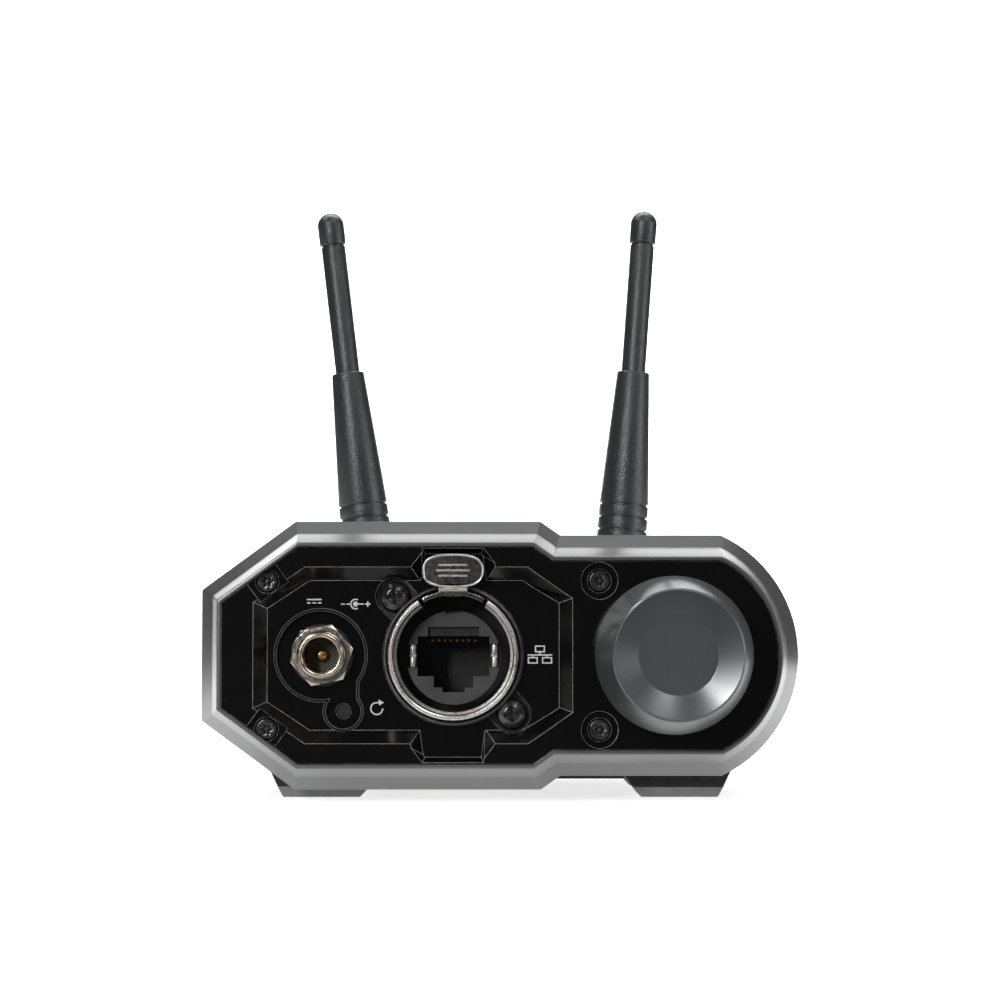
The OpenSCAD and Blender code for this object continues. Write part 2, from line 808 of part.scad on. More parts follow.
// Moves an antenna piece, drawn upright on its fold pin, to its jack and leans it
module on_jack(x, lean) {
    translate([x, y_front + fold_d, axis_height + jack_z]) rotate([0, lean, 0]) children();
}

module antenna_base() {
    color([0.06, 0.06, 0.065]) difference() {
        union() {
            translate([0, -1.6, 0]) rotate([90, 0, 0]) cylinder(r = base_r, h = 2.8);
            translate([0, -4.3, 0]) rotate([90, 0, 0]) cylinder(r = stub_r, h = 1.5);
            for (s = [-1, 1]) intersection() {
                union() {
                    translate([s > 0 ? prong_in : -prong_out, 0, 0]) rotate([0, 90, 0]) cylinder(r = prong_r, h = prong_out - prong_in);
                    translate([s > 0 ? prong_in : -prong_out, -3, -prong_r]) cube([prong_out - prong_in, 3, prong_r * 2]);
                }
                rotate([90, 0, 0]) translate([0, 0, -10]) cylinder(r = 6, h = 20);
            }
        }
        translate([-10, 0, 0]) rotate([0, 90, 0]) cylinder(r = prong_bore_r, h = 20);
        translate([-lug_half_w - 0.15, 0, 0]) rotate([0, 90, 0]) cylinder(r = lug_r + 0.2, h = 2 * lug_half_w + 0.3);
    }
}

module fold_pin() {
    color([0.6, 0.6, 0.6]) translate([-prong_out, 0, 0]) rotate([0, 90, 0]) cylinder(r = pin_r, h = 2 * prong_out);
}

// The sleeve: a hinge lug, a ringed foot and a tapering neck, round the rod's lower end
module sleeve() {
    rings = floor((ring_top_h - sleeve_foot_h) / ring_pitch);
    color([0.06, 0.065, 0.07]) difference() {
        union() {
            intersection() {
                union() {
                    translate([-lug_half_w, 0, 0]) rotate([0, 90, 0]) cylinder(r = lug_r, h = 2 * lug_half_w);
                    translate([-lug_half_w, -1.4, 0]) cube([2 * lug_half_w, lug_r + 1.4, sleeve_foot_h + 0.5]);
                }
                cylinder(r = 4.9, h = 40, center = true);
            }
            rotate_extrude() polygon(concat(
                [[0, sleeve_foot_h], [sleeve_foot_r, sleeve_foot_h]],
                [for (i = [0 : rings - 1], k = [0 : 3])
                    let (
                        h = ring_top_h - (rings - 1 - i) * ring_pitch - (k < 2 ? groove_w : 0),
                        r = sleeve_foot_r + (ring_r - sleeve_foot_r) * (h - sleeve_foot_h) / (ring_top_h - sleeve_foot_h)
                    )
                    [r - (k == 1 || k == 2 ? groove_depth : 0), h]],
                [[sleeve_top_r, sleeve_len - 0.3], [sleeve_top_r - 0.3, sleeve_len], [0, sleeve_len]]
            ));
        }
        translate([-10, 0, 0]) rotate([0, 90, 0]) cylinder(r = lug_bore_r, h = 20);
        translate([0, 0, 30]) cylinder(r = rod_r + 0.02, h = 40);
    }
}

module rod() {
    color([0.06, 0.065, 0.07]) {
        translate([0, 0, 30.02]) cylinder(r = rod_r, h = tip_h - 30.04);
        translate([0, 0, tip_h - 0.1]) cylinder(r = 1.5, h = 3);
    }
}

module tip() {
    dome_h = whip_len - tip_h - tip_r;
    color([0.06, 0.065, 0.07]) difference() {
        union() {
            translate([0, 0, tip_h]) cylinder(r = tip_r, h = dome_h);
            translate([0, 0, tip_h + dome_h]) sphere(r = tip_r);
        }
        translate([0, 0, tip_h - 1]) cylinder(r = 1.52, h = 4);
    }
}

module left_antenna_base() { on_jack(left_jack_x, -lean_left) antenna_base(); }
module left_fold_pin() { on_jack(left_jack_x, -lean_left) fold_pin(); }
module left_sleeve() { on_jack(left_jack_x, -lean_left) sleeve(); }
module left_rod() { on_jack(left_jack_x, -lean_left) rod(); }
module left_tip() { on_jack(left_jack_x, -lean_left) tip(); }
module right_antenna_base() { on_jack(right_jack_x, lean_right) antenna_base(); }
module right_fold_pin() { on_jack(right_jack_x, lean_right) fold_pin(); }
module right_sleeve() { on_jack(right_jack_x, lean_right) sleeve(); }
module right_rod() { on_jack(right_jack_x, lean_right) rod(); }
module right_tip() { on_jack(right_jack_x, lean_right) tip(); }

// ---- feet ----

// A foot is a bar along Y with flared sides, steeper on the outside, cut to follow the lower shell.
// out is 1 for a right foot and -1 for a left one.
foot_outer = [[6.6, 0], [7.4, 1.75], [8.7, 4.4], [9.7, 6.6]];
foot_inner = [[6.9, 0], [8.3, 1.75], [10.2, 4.4], [10.9, 6.6]];

module foot(x, d, out) {
    y0 = y_front + d;
    right = out > 0 ? foot_outer : foot_inner;
    left = out > 0 ? foot_inner : foot_outer;
    profile = concat(right, [for (i = [3 : -1 : 0]) [-left[i][0], left[i][1]]]);
    points = [
        for (e = [0, 1], p = profile) [x + p[0], y0 + (e ? 18 : 0) + (e ? -1 : 1) * (p[1] < 1 ? 1.2 : 0), p[1]],
    ];
    color([0.05, 0.05, 0.052]) difference() {
        polyhedron(
            points = points,
            faces = [
                [7, 6, 1, 0], [6, 5, 4, 3, 2, 1], [8, 9, 14, 15], [9, 10, 11, 12, 13, 14],
                for (i = [0 : 7]) [i, (i + 1) % 8, (i + 1) % 8 + 8, i + 8],
            ],
            convexity = 3
        );
        slab(0, body_len) polygon(outline(shell_inset));
    }
}

module front_left_foot() { foot(-31.4, 24, -1); }
module front_right_foot() { foot(31.6, 24, 1); }
module rear_left_foot() { foot(-31.4, 66, -1); }
module rear_right_foot() { foot(31.6, 66, 1); }

end_cap();
connector_panel();
upper_shell();
lower_shell();
antenna_end_cap();
antenna_panel();
stand_socket();
stand_cap();
cap_plug();
cap_washer();
network_shell();
network_body();
network_insert();
network_contacts();
network_shield_tabs();
network_latch();
network_screws();
dc_jack_barrel();
dc_jack_nut();
dc_jack_washer();
dc_jack_insulator();
dc_centre_pin();
dc_jack_body();
dc_leads();
reset_button();
reset_switch();
case_screws();
rear_screws();
shell_screws();
main_board();
board_chips();
rf_shield_can();
network_transformer();
board_capacitors();
board_screws();
left_coax();
right_coax();
status_lenses();
bracket_inserts();
left_jack();
right_jack();
jack_nuts();
antenna_nuts();
left_antenna_base();
left_fold_pin();
left_sleeve();
left_rod();
left_tip();
right_antenna_base();
right_fold_pin();
right_sleeve();
right_rod();
right_tip();
front_left_foot();
front_right_foot();
rear_left_foot();
rear_right_foot();
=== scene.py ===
import json
import math
import bpy
import bmesh
from mathutils import Matrix, Vector


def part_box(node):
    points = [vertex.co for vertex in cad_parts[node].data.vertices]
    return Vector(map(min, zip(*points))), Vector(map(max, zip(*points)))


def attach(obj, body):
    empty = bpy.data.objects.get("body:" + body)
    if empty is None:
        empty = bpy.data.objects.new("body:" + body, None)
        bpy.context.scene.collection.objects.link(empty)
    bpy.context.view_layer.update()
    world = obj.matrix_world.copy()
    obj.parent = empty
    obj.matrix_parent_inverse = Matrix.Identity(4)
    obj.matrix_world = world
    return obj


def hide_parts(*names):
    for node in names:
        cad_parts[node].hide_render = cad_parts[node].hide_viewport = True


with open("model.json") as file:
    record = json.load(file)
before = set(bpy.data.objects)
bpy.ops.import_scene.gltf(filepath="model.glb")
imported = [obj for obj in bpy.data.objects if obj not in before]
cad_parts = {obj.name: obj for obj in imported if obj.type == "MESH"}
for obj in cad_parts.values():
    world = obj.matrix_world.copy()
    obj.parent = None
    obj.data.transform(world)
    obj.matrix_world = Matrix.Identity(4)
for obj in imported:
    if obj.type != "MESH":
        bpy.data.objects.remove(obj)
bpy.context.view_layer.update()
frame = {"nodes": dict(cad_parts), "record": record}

nodes = frame["nodes"]
scene = bpy.context.scene
MM = 0.001
SLOT_OF = {s["node"]: s["material_slot"] for s in frame["record"]["subparts"]}
BODY_OF = {n: b for b, names in frame["record"]["behaviour"]["bodies"].items() for n in names}


# ---------------------------------------------------------------- places, in mm, read from the frame

def low(node):
    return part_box(node)[0] / MM


def high(node):
    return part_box(node)[1] / MM


def middle(node):
    return (low(node) + high(node)) / 2


Y_FRONT = low("end_cap").y
AXIS_Z = middle("end_cap").z
BODY_LEN = high("antenna_end_cap").y - Y_FRONT
HALF_W = high("end_cap").x
HALF_H_LEFT = high("end_cap").z - AXIS_Z
NET_X = middle("network_shell").x
CAP_X = middle("stand_cap").x
DC_X = middle("dc_jack_barrel").x
RESET = (middle("reset_button").x, middle("reset_button").z - AXIS_Z)
JACK_X = {"left": middle("left_jack").x, "right": middle("right_jack").x}
JACK_Z = middle("left_jack").z - AXIS_Z
LEAN = {"left": -6.75, "right": 4.2}    # degrees, to the right
FOLD_D = BODY_LEN + 13

# The body's outline, in front view
HALF_H_RIGHT = 20.7
ROUND_R = 22.74
ROUND_X = HALF_W - ROUND_R
SIDE_Z = 11.26
CORNER_X = 35.3
STEP_TOP_X = 7.0
STEP_FOOT_X = 10.36
LIP_INSET = 4.24
CREST_INSET = 2.35
SEAT_INSET = 4.9
LEDGE_INSET = 7.4
CREST_D = 10.3
RIM_D = 16
CAP_END_D = 18
RECESS_D = 2.4
POCKET_D = 3.4
# Heights on an antenna, up from its fold pin
SLEEVE_FOOT = 6.0
RINGS_TOP = 26.1
SLEEVE_TOP = 54.1
TIP_FOOT = 81.7
ANTENNA_TOP = 88.6
# Places of the case screws, and the top of the paler band painted on the feet as the floor's light on their
# lower chamfers
CASE = [(-38.95, 12.3), (-38.95, -12.3), (16.6, 12.4), (16.6, -12.4)]
FLOOR_LIT_TOP = 1.85


def pt(x, d, z):
    """A point from X, depth behind the front lip and height above the centre line, in mm."""
    return Vector((x, Y_FRONT + d, AXIS_Z + z)) * MM


# ---------------------------------------------------------------- materials

def srgb(*c):
    """Linear colour with alpha from 0-255 display values."""
    out = []
    for v in c:
        v /= 255.0
        out.append(v / 12.92 if v <= 0.04045 else ((v + 0.055) / 1.055) ** 2.4)
    return (*out, 1.0)


class Shader:
    """A Principled material with helpers for procedural detail."""

    def __init__(self, name, **sockets):
        self.name = name
        self.mat = bpy.data.materials.new(name)
        self.mat.use_nodes = True
        self.tree = self.mat.node_tree
        self.bsdf = self.tree.nodes["Principled BSDF"]
        for key, value in sockets.items():
            self.bsdf.inputs[key.replace("_", " ")].default_value = value
        self.coord = self.tree.nodes.new("ShaderNodeTexCoord")
        self.normal = None

    def add(self, kind, **values):
        node = self.tree.nodes.new(kind)
        for key, value in values.items():
            if key in node.inputs:
                node.inputs[key].default_value = value
            else:
                setattr(node, key, value)
        return node

    def link(self, a, b):
        self.tree.links.new(a, b)

    def noise(self, scale, detail=3.0, rough=0.55):
        node = self.add("ShaderNodeTexNoise", Scale=scale, Detail=detail, Roughness=rough)
        self.link(self.coord.outputs["Object"], node.inputs["Vector"])
        return node.outputs["Fac"]

    def cells(self, scale):
        node = self.add("ShaderNodeTexVoronoi", Scale=scale)
        self.link(self.coord.outputs["Object"], node.inputs["Vector"])
        return node.outputs["Distance"]

    def ramp(self, source, stops):
        node = self.tree.nodes.new("ShaderNodeValToRGB")
        ramp = node.color_ramp
        while len(ramp.elements) < len(stops):
            ramp.elements.new(0.5)
        for element, (pos, colour) in zip(ramp.elements, stops):
            element.position = pos
            element.color = colour if hasattr(colour, "__len__") else (colour, colour, colour, 1)
        self.link(source, node.inputs["Fac"])
        return node.outputs["Color"]

    def mix(self, factor, a, b):
        """Blends two colours by a grey input. Each may be an output or a fixed colour."""
        node = self.add("ShaderNodeMix", data_type="RGBA")
        self.link(factor, node.inputs["Factor"])
        for source, socket in ((a, node.inputs[6]), (b, node.inputs[7])):
            if hasattr(source, "links"):
                self.link(source, socket)
            else:
                socket.default_value = source
        return node.outputs[2]

    def colour(self, source, dark, light, spread=(0.35, 0.65)):
        out = self.ramp(source, [(spread[0], dark), (spread[1], light)])
        self.link(out, self.bsdf.inputs["Base Color"])

    def roughness(self, source, low, high, spread=(0.3, 0.7)):
        out = self.ramp(source, [(spread[0], low), (spread[1], high)])
        self.link(out, self.bsdf.inputs["Roughness"])

    def bump(self, source, strength, distance):
        node = self.add("ShaderNodeBump", Strength=strength, Distance=distance)
        self.link(source, node.inputs["Height"])
        if self.normal is not None:
            self.link(self.normal, node.inputs["Normal"])
        self.normal = node.outputs["Normal"]
        self.link(self.normal, self.bsdf.inputs["Normal"])


def simple(name, dark, light, rough, scale=300, bump=0.0, grain=2400, **sockets):
    """A finish with mottled colour, uneven gloss and, if asked, a fine grain."""
    s = Shader(name, **sockets)
    s.colour(s.noise(scale, 4), srgb(*dark), srgb(*light))
    s.roughness(s.noise(scale * 2.6, 4), *rough)
    if bump:
        s.bump(s.noise(grain, 3, 0.5), bump, 0.0002)
    return s


def make_materials():
    m = {}

    def keep(s):
        m[s.name] = s.mat
        return s

    # Satin metallic paint of the end caps, very even
    s = keep(Shader("body_paint", Metallic=0.72, Specular_IOR_Level=0.5))
    s.colour(s.noise(9, 0), srgb(109, 110, 111), srgb(115, 115, 115), (0, 1))
    s.roughness(s.noise(11, 0), 0.265, 0.29, (0, 1))

    # Gloss black panel
    s = keep(Shader("panel_black", Specular_IOR_Level=0.3))
    s.colour(s.noise(60, 3), srgb(7, 7, 8), srgb(11, 11, 12))
    s.roughness(s.noise(420, 5), 0.1, 0.17)
    s.bump(s.noise(420, 2), 0.03, 0.0002)

    # Fine-textured black of the shells
    s = keep(Shader("shell_black", Specular_IOR_Level=0.45))
    s.colour(s.noise(160, 3), srgb(30, 30, 31), srgb(33, 33, 34))
    s.roughness(s.noise(500, 4), 0.46, 0.55)
    s.bump(s.cells(2600), 0.22, 0.0002)

    # Satin grey of the stand cap
    s = keep(Shader("cap_grey", Metallic=0.68, Specular_IOR_Level=0.5))
    s.colour(s.noise(2600, 3, 0.7), srgb(109, 110, 112), srgb(114, 115, 116), (0.3, 0.7))
    s.roughness(s.noise(240, 4), 0.275, 0.295)
    s.bump(s.noise(2600, 2), 0.008, 0.00005)

    # Cast nickel, pitted and stained
    s = keep(Shader("nickel", Metallic=1.0))
    stain = s.ramp(s.noise(420, 5, 0.65), [(0.52, 0.0), (0.75, 1.0)])
    fine = s.ramp(s.noise(1500, 5, 0.7), [(0.3, srgb(216, 212, 205)), (0.7, srgb(240, 237, 230))])
    s.link(s.mix(stain, fine, srgb(178, 170, 158)), s.bsdf.inputs["Base Color"])
    s.roughness(s.noise(1800, 5), 0.24, 0.38)
    s.bump(s.noise(1500, 5, 0.7), 0.08, 0.0002)

    # Rolled plate of the latch tab, smoother, and painted much darker than the nickel of its rim: painted
    # shade for the dark reflection on its flat front
    s = keep(Shader("latch_plate_shaded", Metallic=1.0))
    s.colour(s.noise(300, 3), srgb(92, 91, 89), srgb(108, 107, 104))
    s.roughness(s.noise(1500, 5), 0.2, 0.36)
    s.bump(s.noise(1800, 4, 0.6), 0.02, 0.0002)

    # Turned nickel of the power jack, warmer
    s = keep(Shader("turned_nickel", Metallic=1.0))
    s.colour(s.noise(420, 5), srgb(176, 164, 146), srgb(214, 206, 192))
    s.roughness(s.noise(1300, 4), 0.16, 0.34)
    s.bump(s.noise(1500, 4, 0.6), 0.06, 0.0002)

    keep(simple("bright_metal", (218, 218, 216), (236, 235, 232), (0.28, 0.4), Metallic=1.0, bump=0.05))
    keep(simple("plain_metal", (166, 164, 158), (198, 195, 188), (0.26, 0.44), Metallic=1.0, bump=0.12))
    keep(simple("brass", (186, 154, 92), (222, 194, 128), (0.2, 0.4), Metallic=1.0, bump=0.12))
    keep(simple("gold", (150, 118, 58), (172, 140, 76), (0.3, 0.4), Metallic=1.0))
    keep(simple("rubber", (20, 20, 21), (30, 30, 31), (0.6, 0.82), bump=0.3, grain=1800))
    keep(simple("black_plastic", (15, 15, 16), (23, 23, 24), (0.3, 0.45), bump=0.12))
    keep(simple("insert_plastic", (48, 49, 50), (62, 63, 64), (0.42, 0.6), bump=0.18))
    keep(simple("insulator", (38, 30, 24), (54, 42, 32), (0.4, 0.55)))
    keep(simple("wire_red", (150, 24, 20), (176, 34, 28), (0.38, 0.5)))
    keep(simple("cable_black", (24, 24, 25), (34, 34, 35), (0.4, 0.55), bump=0.1))
    keep(simple("chip_black", (26, 26, 28), (36, 36, 38), (0.5, 0.62), bump=0.15))
    keep(simple("capacitor", (60, 62, 70), (78, 80, 88), (0.28, 0.42), Metallic=0.7))
    keep(simple("lens", (172, 179, 177), (190, 196, 194), (0.15, 0.28), Transmission_Weight=0.35))
    keep(simple("print_white", (196, 196, 194), (216, 216, 214), (0.45, 0.6), scale=1200))

    # Black-finished steel screws
    s = keep(Shader("black_screw", Metallic=0.85))
    s.colour(s.noise(700, 4), srgb(78, 78, 79), srgb(98, 98, 98))
    s.roughness(s.noise(1500, 4), 0.14, 0.26)
    s.bump(s.noise(2200, 4), 0.04, 0.0001)

    # Pale finishes for rounded edges: painted highlights, standing for light caught along the edges
    keep(simple("panel_edge_highlight", (176, 176, 178), (220, 220, 222), (0.24, 0.36), scale=700,
                Specular_IOR_Level=0.7))
    keep(simple("screw_edge_highlight", (176, 175, 172), (222, 220, 216), (0.2, 0.34), scale=900, Metallic=0.4))
    keep(simple("nickel_edge_highlight", (214, 210, 202), (236, 232, 224), (0.14, 0.24), scale=900, Metallic=1.0))
    keep(simple("plastic_edge_highlight", (84, 85, 87), (104, 105, 107), (0.35, 0.5), scale=700))
    # Paler grey for the lower band of the feet: painted light from the floor on their lower chamfers
    keep(simple("foot_floor_light", (104, 105, 106), (122, 122, 123), (0.55, 0.75), bump=0.25, grain=1800))

    # Antenna rubber: matt, with a fine pebble that sparkles along the highlight
    s = keep(Shader("antenna_black", Specular_IOR_Level=0.75))
    s.colour(s.noise(240, 4), srgb(30, 32, 35), srgb(37, 39, 42))
    s.roughness(s.noise(2200, 4), 0.32, 0.42)
    s.bump(s.noise(2600, 2, 0.5), 0.5, 0.0002)

    # Circuit board: solder mask with fine tracks
    s = keep(Shader("board_green", Roughness=0.35))
    tracks = s.add("ShaderNodeTexBrick", Scale=240.0)
    s.link(s.coord.outputs["Object"], tracks.inputs["Vector"])
    tracks.inputs["Color1"].default_value = srgb(16, 84, 44)
    tracks.inputs["Color2"].default_value = srgb(20, 96, 50)
    tracks.inputs["Mortar"].default_value = srgb(34, 120, 66)
    s.link(tracks.outputs["Color"], s.bsdf.inputs["Base Color"])
    return m


MATS = make_materials()


# ---------------------------------------------------------------- mesh tools

def finish_piece(name, bm, body, material, replaces=(), slot=None, sharp=32,
                 bevel=0.0, steps=2, angle=30, edge=None):
    """Turns a bmesh into a piece that rides on a body. edge is the pale finish of its rounded edges, a
    painted highlight along them.
    """
    bmesh.ops.remove_doubles(bm, verts=bm.verts, dist=1e-7)
    bmesh.ops.recalc_face_normals(bm, faces=bm.faces)
    if bevel:
        edges = [
            e for e in bm.edges
            if len(e.link_faces) == 2 and e.calc_face_angle(0) > math.radians(angle)
        ]
        bmesh.ops.bevel(
            bm, geom=edges, offset=bevel * MM, offset_type="OFFSET", segments=steps,
            profile=0.5, affect="EDGES", clamp_overlap=True, material=1 if edge else -1,
        )
        bmesh.ops.remove_doubles(bm, verts=bm.verts, dist=1e-7)
        bmesh.ops.recalc_face_normals(bm, faces=bm.faces)
    mesh = bpy.data.meshes.new(name)
    bm.to_mesh(mesh)
    bm.free()
    for p in mesh.polygons:
        p.use_smooth = True
    mesh.set_sharp_from_angle(angle=math.radians(sharp))
    mesh.materials.append(MATS[material])
    # The bevel faces take the edge finish: a painted highlight
    if edge:
        mesh.materials.append(MATS[edge])
    obj = bpy.data.objects.new(name, mesh)
    scene.collection.objects.link(obj)
    if bevel:
        even = obj.modifiers.new("even", "WEIGHTED_NORMAL")
        even.weight = 100
        even.keep_sharp = True
    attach(obj, body)
    if replaces:
        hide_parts(*replaces)
    return obj


def stand_for(node, bm, material=None, **options):
    """A piece that stands for one CAD node."""
    slot = SLOT_OF[node]
    return finish_piece(node + "_v", bm, BODY_OF[node], material or slot, (node,), slot, **options)


def add_rings(bm, rings, closed=True, caps=False):
    """Joins rings of points into a skin. closed joins the last to the first, caps fills the end rings."""
    rows = [[bm.verts.new(p) for p in ring] for ring in rings]
    n = len(rows[0])
    for i in range(len(rows) if closed else len(rows) - 1):
        a, b = rows[i], rows[(i + 1) % len(rows)]
        for j in range(n):
            k = (j + 1) % n
            bm.faces.new((a[j], a[k], b[k], b[j]))
    if caps:
        bm.faces.new(rows[0])
        bm.faces.new(list(reversed(rows[-1])))


def fillet(points, radius, steps=3):
    """Rounds the corners of a closed outline. radius is one number or one per point."""
    n = len(points)
    out = []
    for i, p in enumerate(points):
        r = radius[i] if hasattr(radius, "__len__") else radius
        if r <= 0:
            out.append(tuple(p))
            continue
        p = Vector(p)
        a, b = Vector(points[i - 1]) - p, Vector(points[(i + 1) % n]) - p
        cut = min(r / math.tan(a.angle(b) / 2), a.length * 0.48, b.length * 0.48)
        p0, p1 = p + a.normalized() * cut, p + b.normalized() * cut
        for s in range(steps + 1):
            t = s / steps
            out.append(tuple(p0 * (1 - t) ** 2 + p * 2 * t * (1 - t) + p1 * t * t))
    return out


def along_y(x, z, rear=False):
    """Where a (radius, depth) profile goes when it is turned about an axis along Y."""
    def place(r, h, a):
        return pt(x + r * math.cos(a), BODY_LEN - h if rear else h, z + r * math.sin(a))
    return place


def on_jack(side):
    """Where an antenna's own (x, y, z), drawn upright on its fold pin, goes."""
    lean = Matrix.Rotation(math.radians(LEAN[side]), 3, "Y")
    foot = pt(JACK_X[side], FOLD_D, JACK_Z)

    def place(x, y, z):
        return foot + lean @ (Vector((x, y, z)) * MM)
    return place


def up_antenna(side):
    """Where a (radius, height) profile goes when it is turned about an antenna."""
    place = on_jack(side)
    return lambda r, h, a: place(r * math.cos(a), r * math.sin(a), h)


def add_lathe(bm, place, profile, segments=96, start=0.0, end=360.0, ripple=None):
    """Turns a closed (radius, height) profile. Less than a full turn gets flat ends."""
    full = abs(end - start) >= 360
    angles = [math.radians(start + (end - start) * i / segments) for i in range(segments + (not full))]
    rows = []
    for i, a in enumerate(angles):
        rows.append([bm.verts.new(place(ripple(i, r) if ripple else r, h, a)) for r, h in profile])
    n = len(profile)
    for i in range(len(rows) if full else len(rows) - 1):
        a, b = rows[i], rows[(i + 1) % len(rows)]
        for j in range(n):
            k = (j + 1) % n
            if profile[j][0] < 1e-6 and profile[k][0] < 1e-6:
                continue
            bm.faces.new((a[j], a[k], b[k], b[j]))
    if not full:
        bm.faces.new(rows[0])
        bm.faces.new(list(reversed(rows[-1])))


def lathe(place, profile, **options):
    bm = bmesh.new()
    add_lathe(bm, place, profile, **options)
    return bm


def add_slab(bm, points, d0, d1, x=0.0, z=0.0, rear=False):
    """A front-view shape as a solid from depth d0 to d1."""
    rings = [[pt(px + x, BODY_LEN - d if rear else d, pz + z) for px, pz in points] for d in (d0, d1)]
    add_rings(bm, rings, closed=False, caps=True)


def slab(points, d0, d1, x=0.0, z=0.0):
    bm = bmesh.new()
    add_slab(bm, points, d0, d1, x, z)
    return bm


def circle(r, n=64, x=0.0, z=0.0):
    return [(x + r * math.cos(math.tau * i / n), z + r * math.sin(math.tau * i / n)) for i in range(n)]


def hexagon_across(flats):
    return circle(flats / 2 / math.cos(math.radians(30)), 6)


def rect(w, h, x=0.0, z=0.0, r=0.0):
    p = [(x - w / 2, z - h / 2), (x + w / 2, z - h / 2), (x + w / 2, z + h / 2), (x - w / 2, z + h / 2)]
    return fillet(p, r, 4) if r else p


def turned(points, degrees):
    c, s = math.cos(math.radians(degrees)), math.sin(math.radians(degrees))
    return [(c * x - s * z, s * x + c * z) for x, z in points]


def lobes(r, n=72, dip=0.16):
    """A six-lobed driver recess."""
    out = []
    for i in range(n):
        a = math.tau * i / n
        k = r * (1 - dip + dip * math.cos(6 * a))
        out.append((k * math.cos(a), k * math.sin(a)))
    return out


def cross(r, half):
    """A cross-shaped driver recess: arms r long and twice half wide."""
    p = [(half, half), (half, r), (-half, r)]
    return [q for a in (0, 90, 180, 270) for q in turned(p, a)]


def loose(bm, name):
    bmesh.ops.remove_doubles(bm, verts=bm.verts, dist=1e-7)
    bmesh.ops.recalc_face_normals(bm, faces=bm.faces)
    mesh = bpy.data.meshes.new(name)
    bm.to_mesh(mesh)
    bm.free()
    obj = bpy.data.objects.new(name, mesh)
    scene.collection.objects.link(obj)
    return obj


def cut(base, tools, operation="DIFFERENCE"):
    """Cuts a solid with others, or joins or crosses them, and returns the result."""
    obj = loose(base, "base")
    made = []
    for i, bm in enumerate(tools):
        mod = obj.modifiers.new(f"cut{i}", "BOOLEAN")
        mod.object = loose(bm, f"tool{i}")
        mod.operation = operation
        mod.solver = "EXACT"
        made.append(mod.object)
    bpy.context.view_layer.update()
    mesh = bpy.data.meshes.new_from_object(obj.evaluated_get(bpy.context.evaluated_depsgraph_get()))
    out = bmesh.new()
    out.from_mesh(mesh)
    bpy.data.meshes.remove(mesh)
    for item in made + [obj]:
        data = item.data
        bpy.data.objects.remove(item)
        bpy.data.meshes.remove(data)
    bmesh.ops.remove_doubles(out, verts=out.verts, dist=2e-7)
    return out


def merge(bm, other):
    """Moves another bmesh's faces into bm."""
    mesh = bpy.data.meshes.new("part")
    other.to_mesh(mesh)
    other.free()
    bm.from_mesh(mesh)
    bpy.data.meshes.remove(mesh)


def from_node(node):
    """A cleaned copy of a CAD node's mesh: one face for each flat side."""
    bm = bmesh.new()
    bm.from_mesh(nodes[node].data)
    bmesh.ops.remove_doubles(bm, verts=bm.verts, dist=1e-6)
    bmesh.ops.dissolve_limit(bm, angle_limit=math.radians(0.6), verts=bm.verts, edges=bm.edges)
    return bm


def refine(node, bevel=0.12, material=None, **options):
    """A CAD node's shape with its edges rounded."""
    return stand_for(node, from_node(node), material, bevel=bevel, **options)


# ---------------------------------------------------------------- housing

def outline(inset):
    """The body's outline, moved inwards, with its corners slightly rounded."""
    arc_steps, corner = 56, 0.5
    diagonal = math.atan2(HALF_H_LEFT - SIDE_Z, HALF_W - CORNER_X)
    step = math.atan2(HALF_H_LEFT - HALF_H_RIGHT, STEP_FOOT_X - STEP_TOP_X)
    h1, h2, r, w = HALF_H_LEFT - inset, HALF_H_RIGHT - inset, ROUND_R - inset, HALF_W - inset
    a = math.asin(h2 / r)
    slip = inset * math.tan(step / 2)
    cx = CORNER_X - inset * math.tan(diagonal / 2)
    side = SIDE_Z - inset * math.tan((math.pi / 2 - diagonal) / 2)
    arc = [-a + 2 * a * i / arc_steps for i in range(arc_steps + 1)]
    points = [(ROUND_X + r * math.cos(t), r * math.sin(t)) for t in arc]
    points += [
        (STEP_FOOT_X - slip, h2), (STEP_TOP_X - slip, h1), (-cx, h1), (-w, side),
        (-w, -side), (-cx, -h1), (STEP_TOP_X - slip, -h1), (STEP_FOOT_X - slip, -h2),
    ]
    return fillet(points, [0] * len(arc) + [corner] * 8, 3)


def sweep(bm, profile, rear=False):
    """Carries a closed (inset, depth) profile round the body's outline."""
    rings = [
        [pt(x, BODY_LEN - d if rear else d, z) for x, z in outline(inset)]
        for inset, d in profile
    ]
    add_rings(bm, rings)


def make_end_caps():
    ledge_front, ledge_back = 5.0, 6.6
    lip = [(SEAT_INSET, ledge_front), (SEAT_INSET, 0.0), (LIP_INSET, 0.0)]
    bands = [(CREST_INSET, CREST_D), (0, RIM_D), (0, CAP_END_D)]
    inside = [(SEAT_INSET, CAP_END_D), (SEAT_INSET, ledge_back)]
    ledge = [(LEDGE_INSET, ledge_back), (LEDGE_INSET, ledge_front)]
    profile = fillet(lip + bands + inside + ledge, [0, 0.12, 0.3, 0.5, 0.45, 0.2, 0, 0, 0, 0], 4)
    for node, rear in (("end_cap", False), ("antenna_end_cap", True)):
        bm = bmesh.new()
        sweep(bm, profile, rear)
        stand_for(node, bm)


def make_shells():
    refine("upper_shell", 0.3, angle=40)
    refine("lower_shell", 0.3, angle=40)


def make_panels():
    # Their rounded edges take a pale finish: painted highlights along the panel edges
    refine("connector_panel", 0.18, edge="panel_edge_highlight")
    refine("antenna_panel", 0.18, edge="panel_edge_highlight")


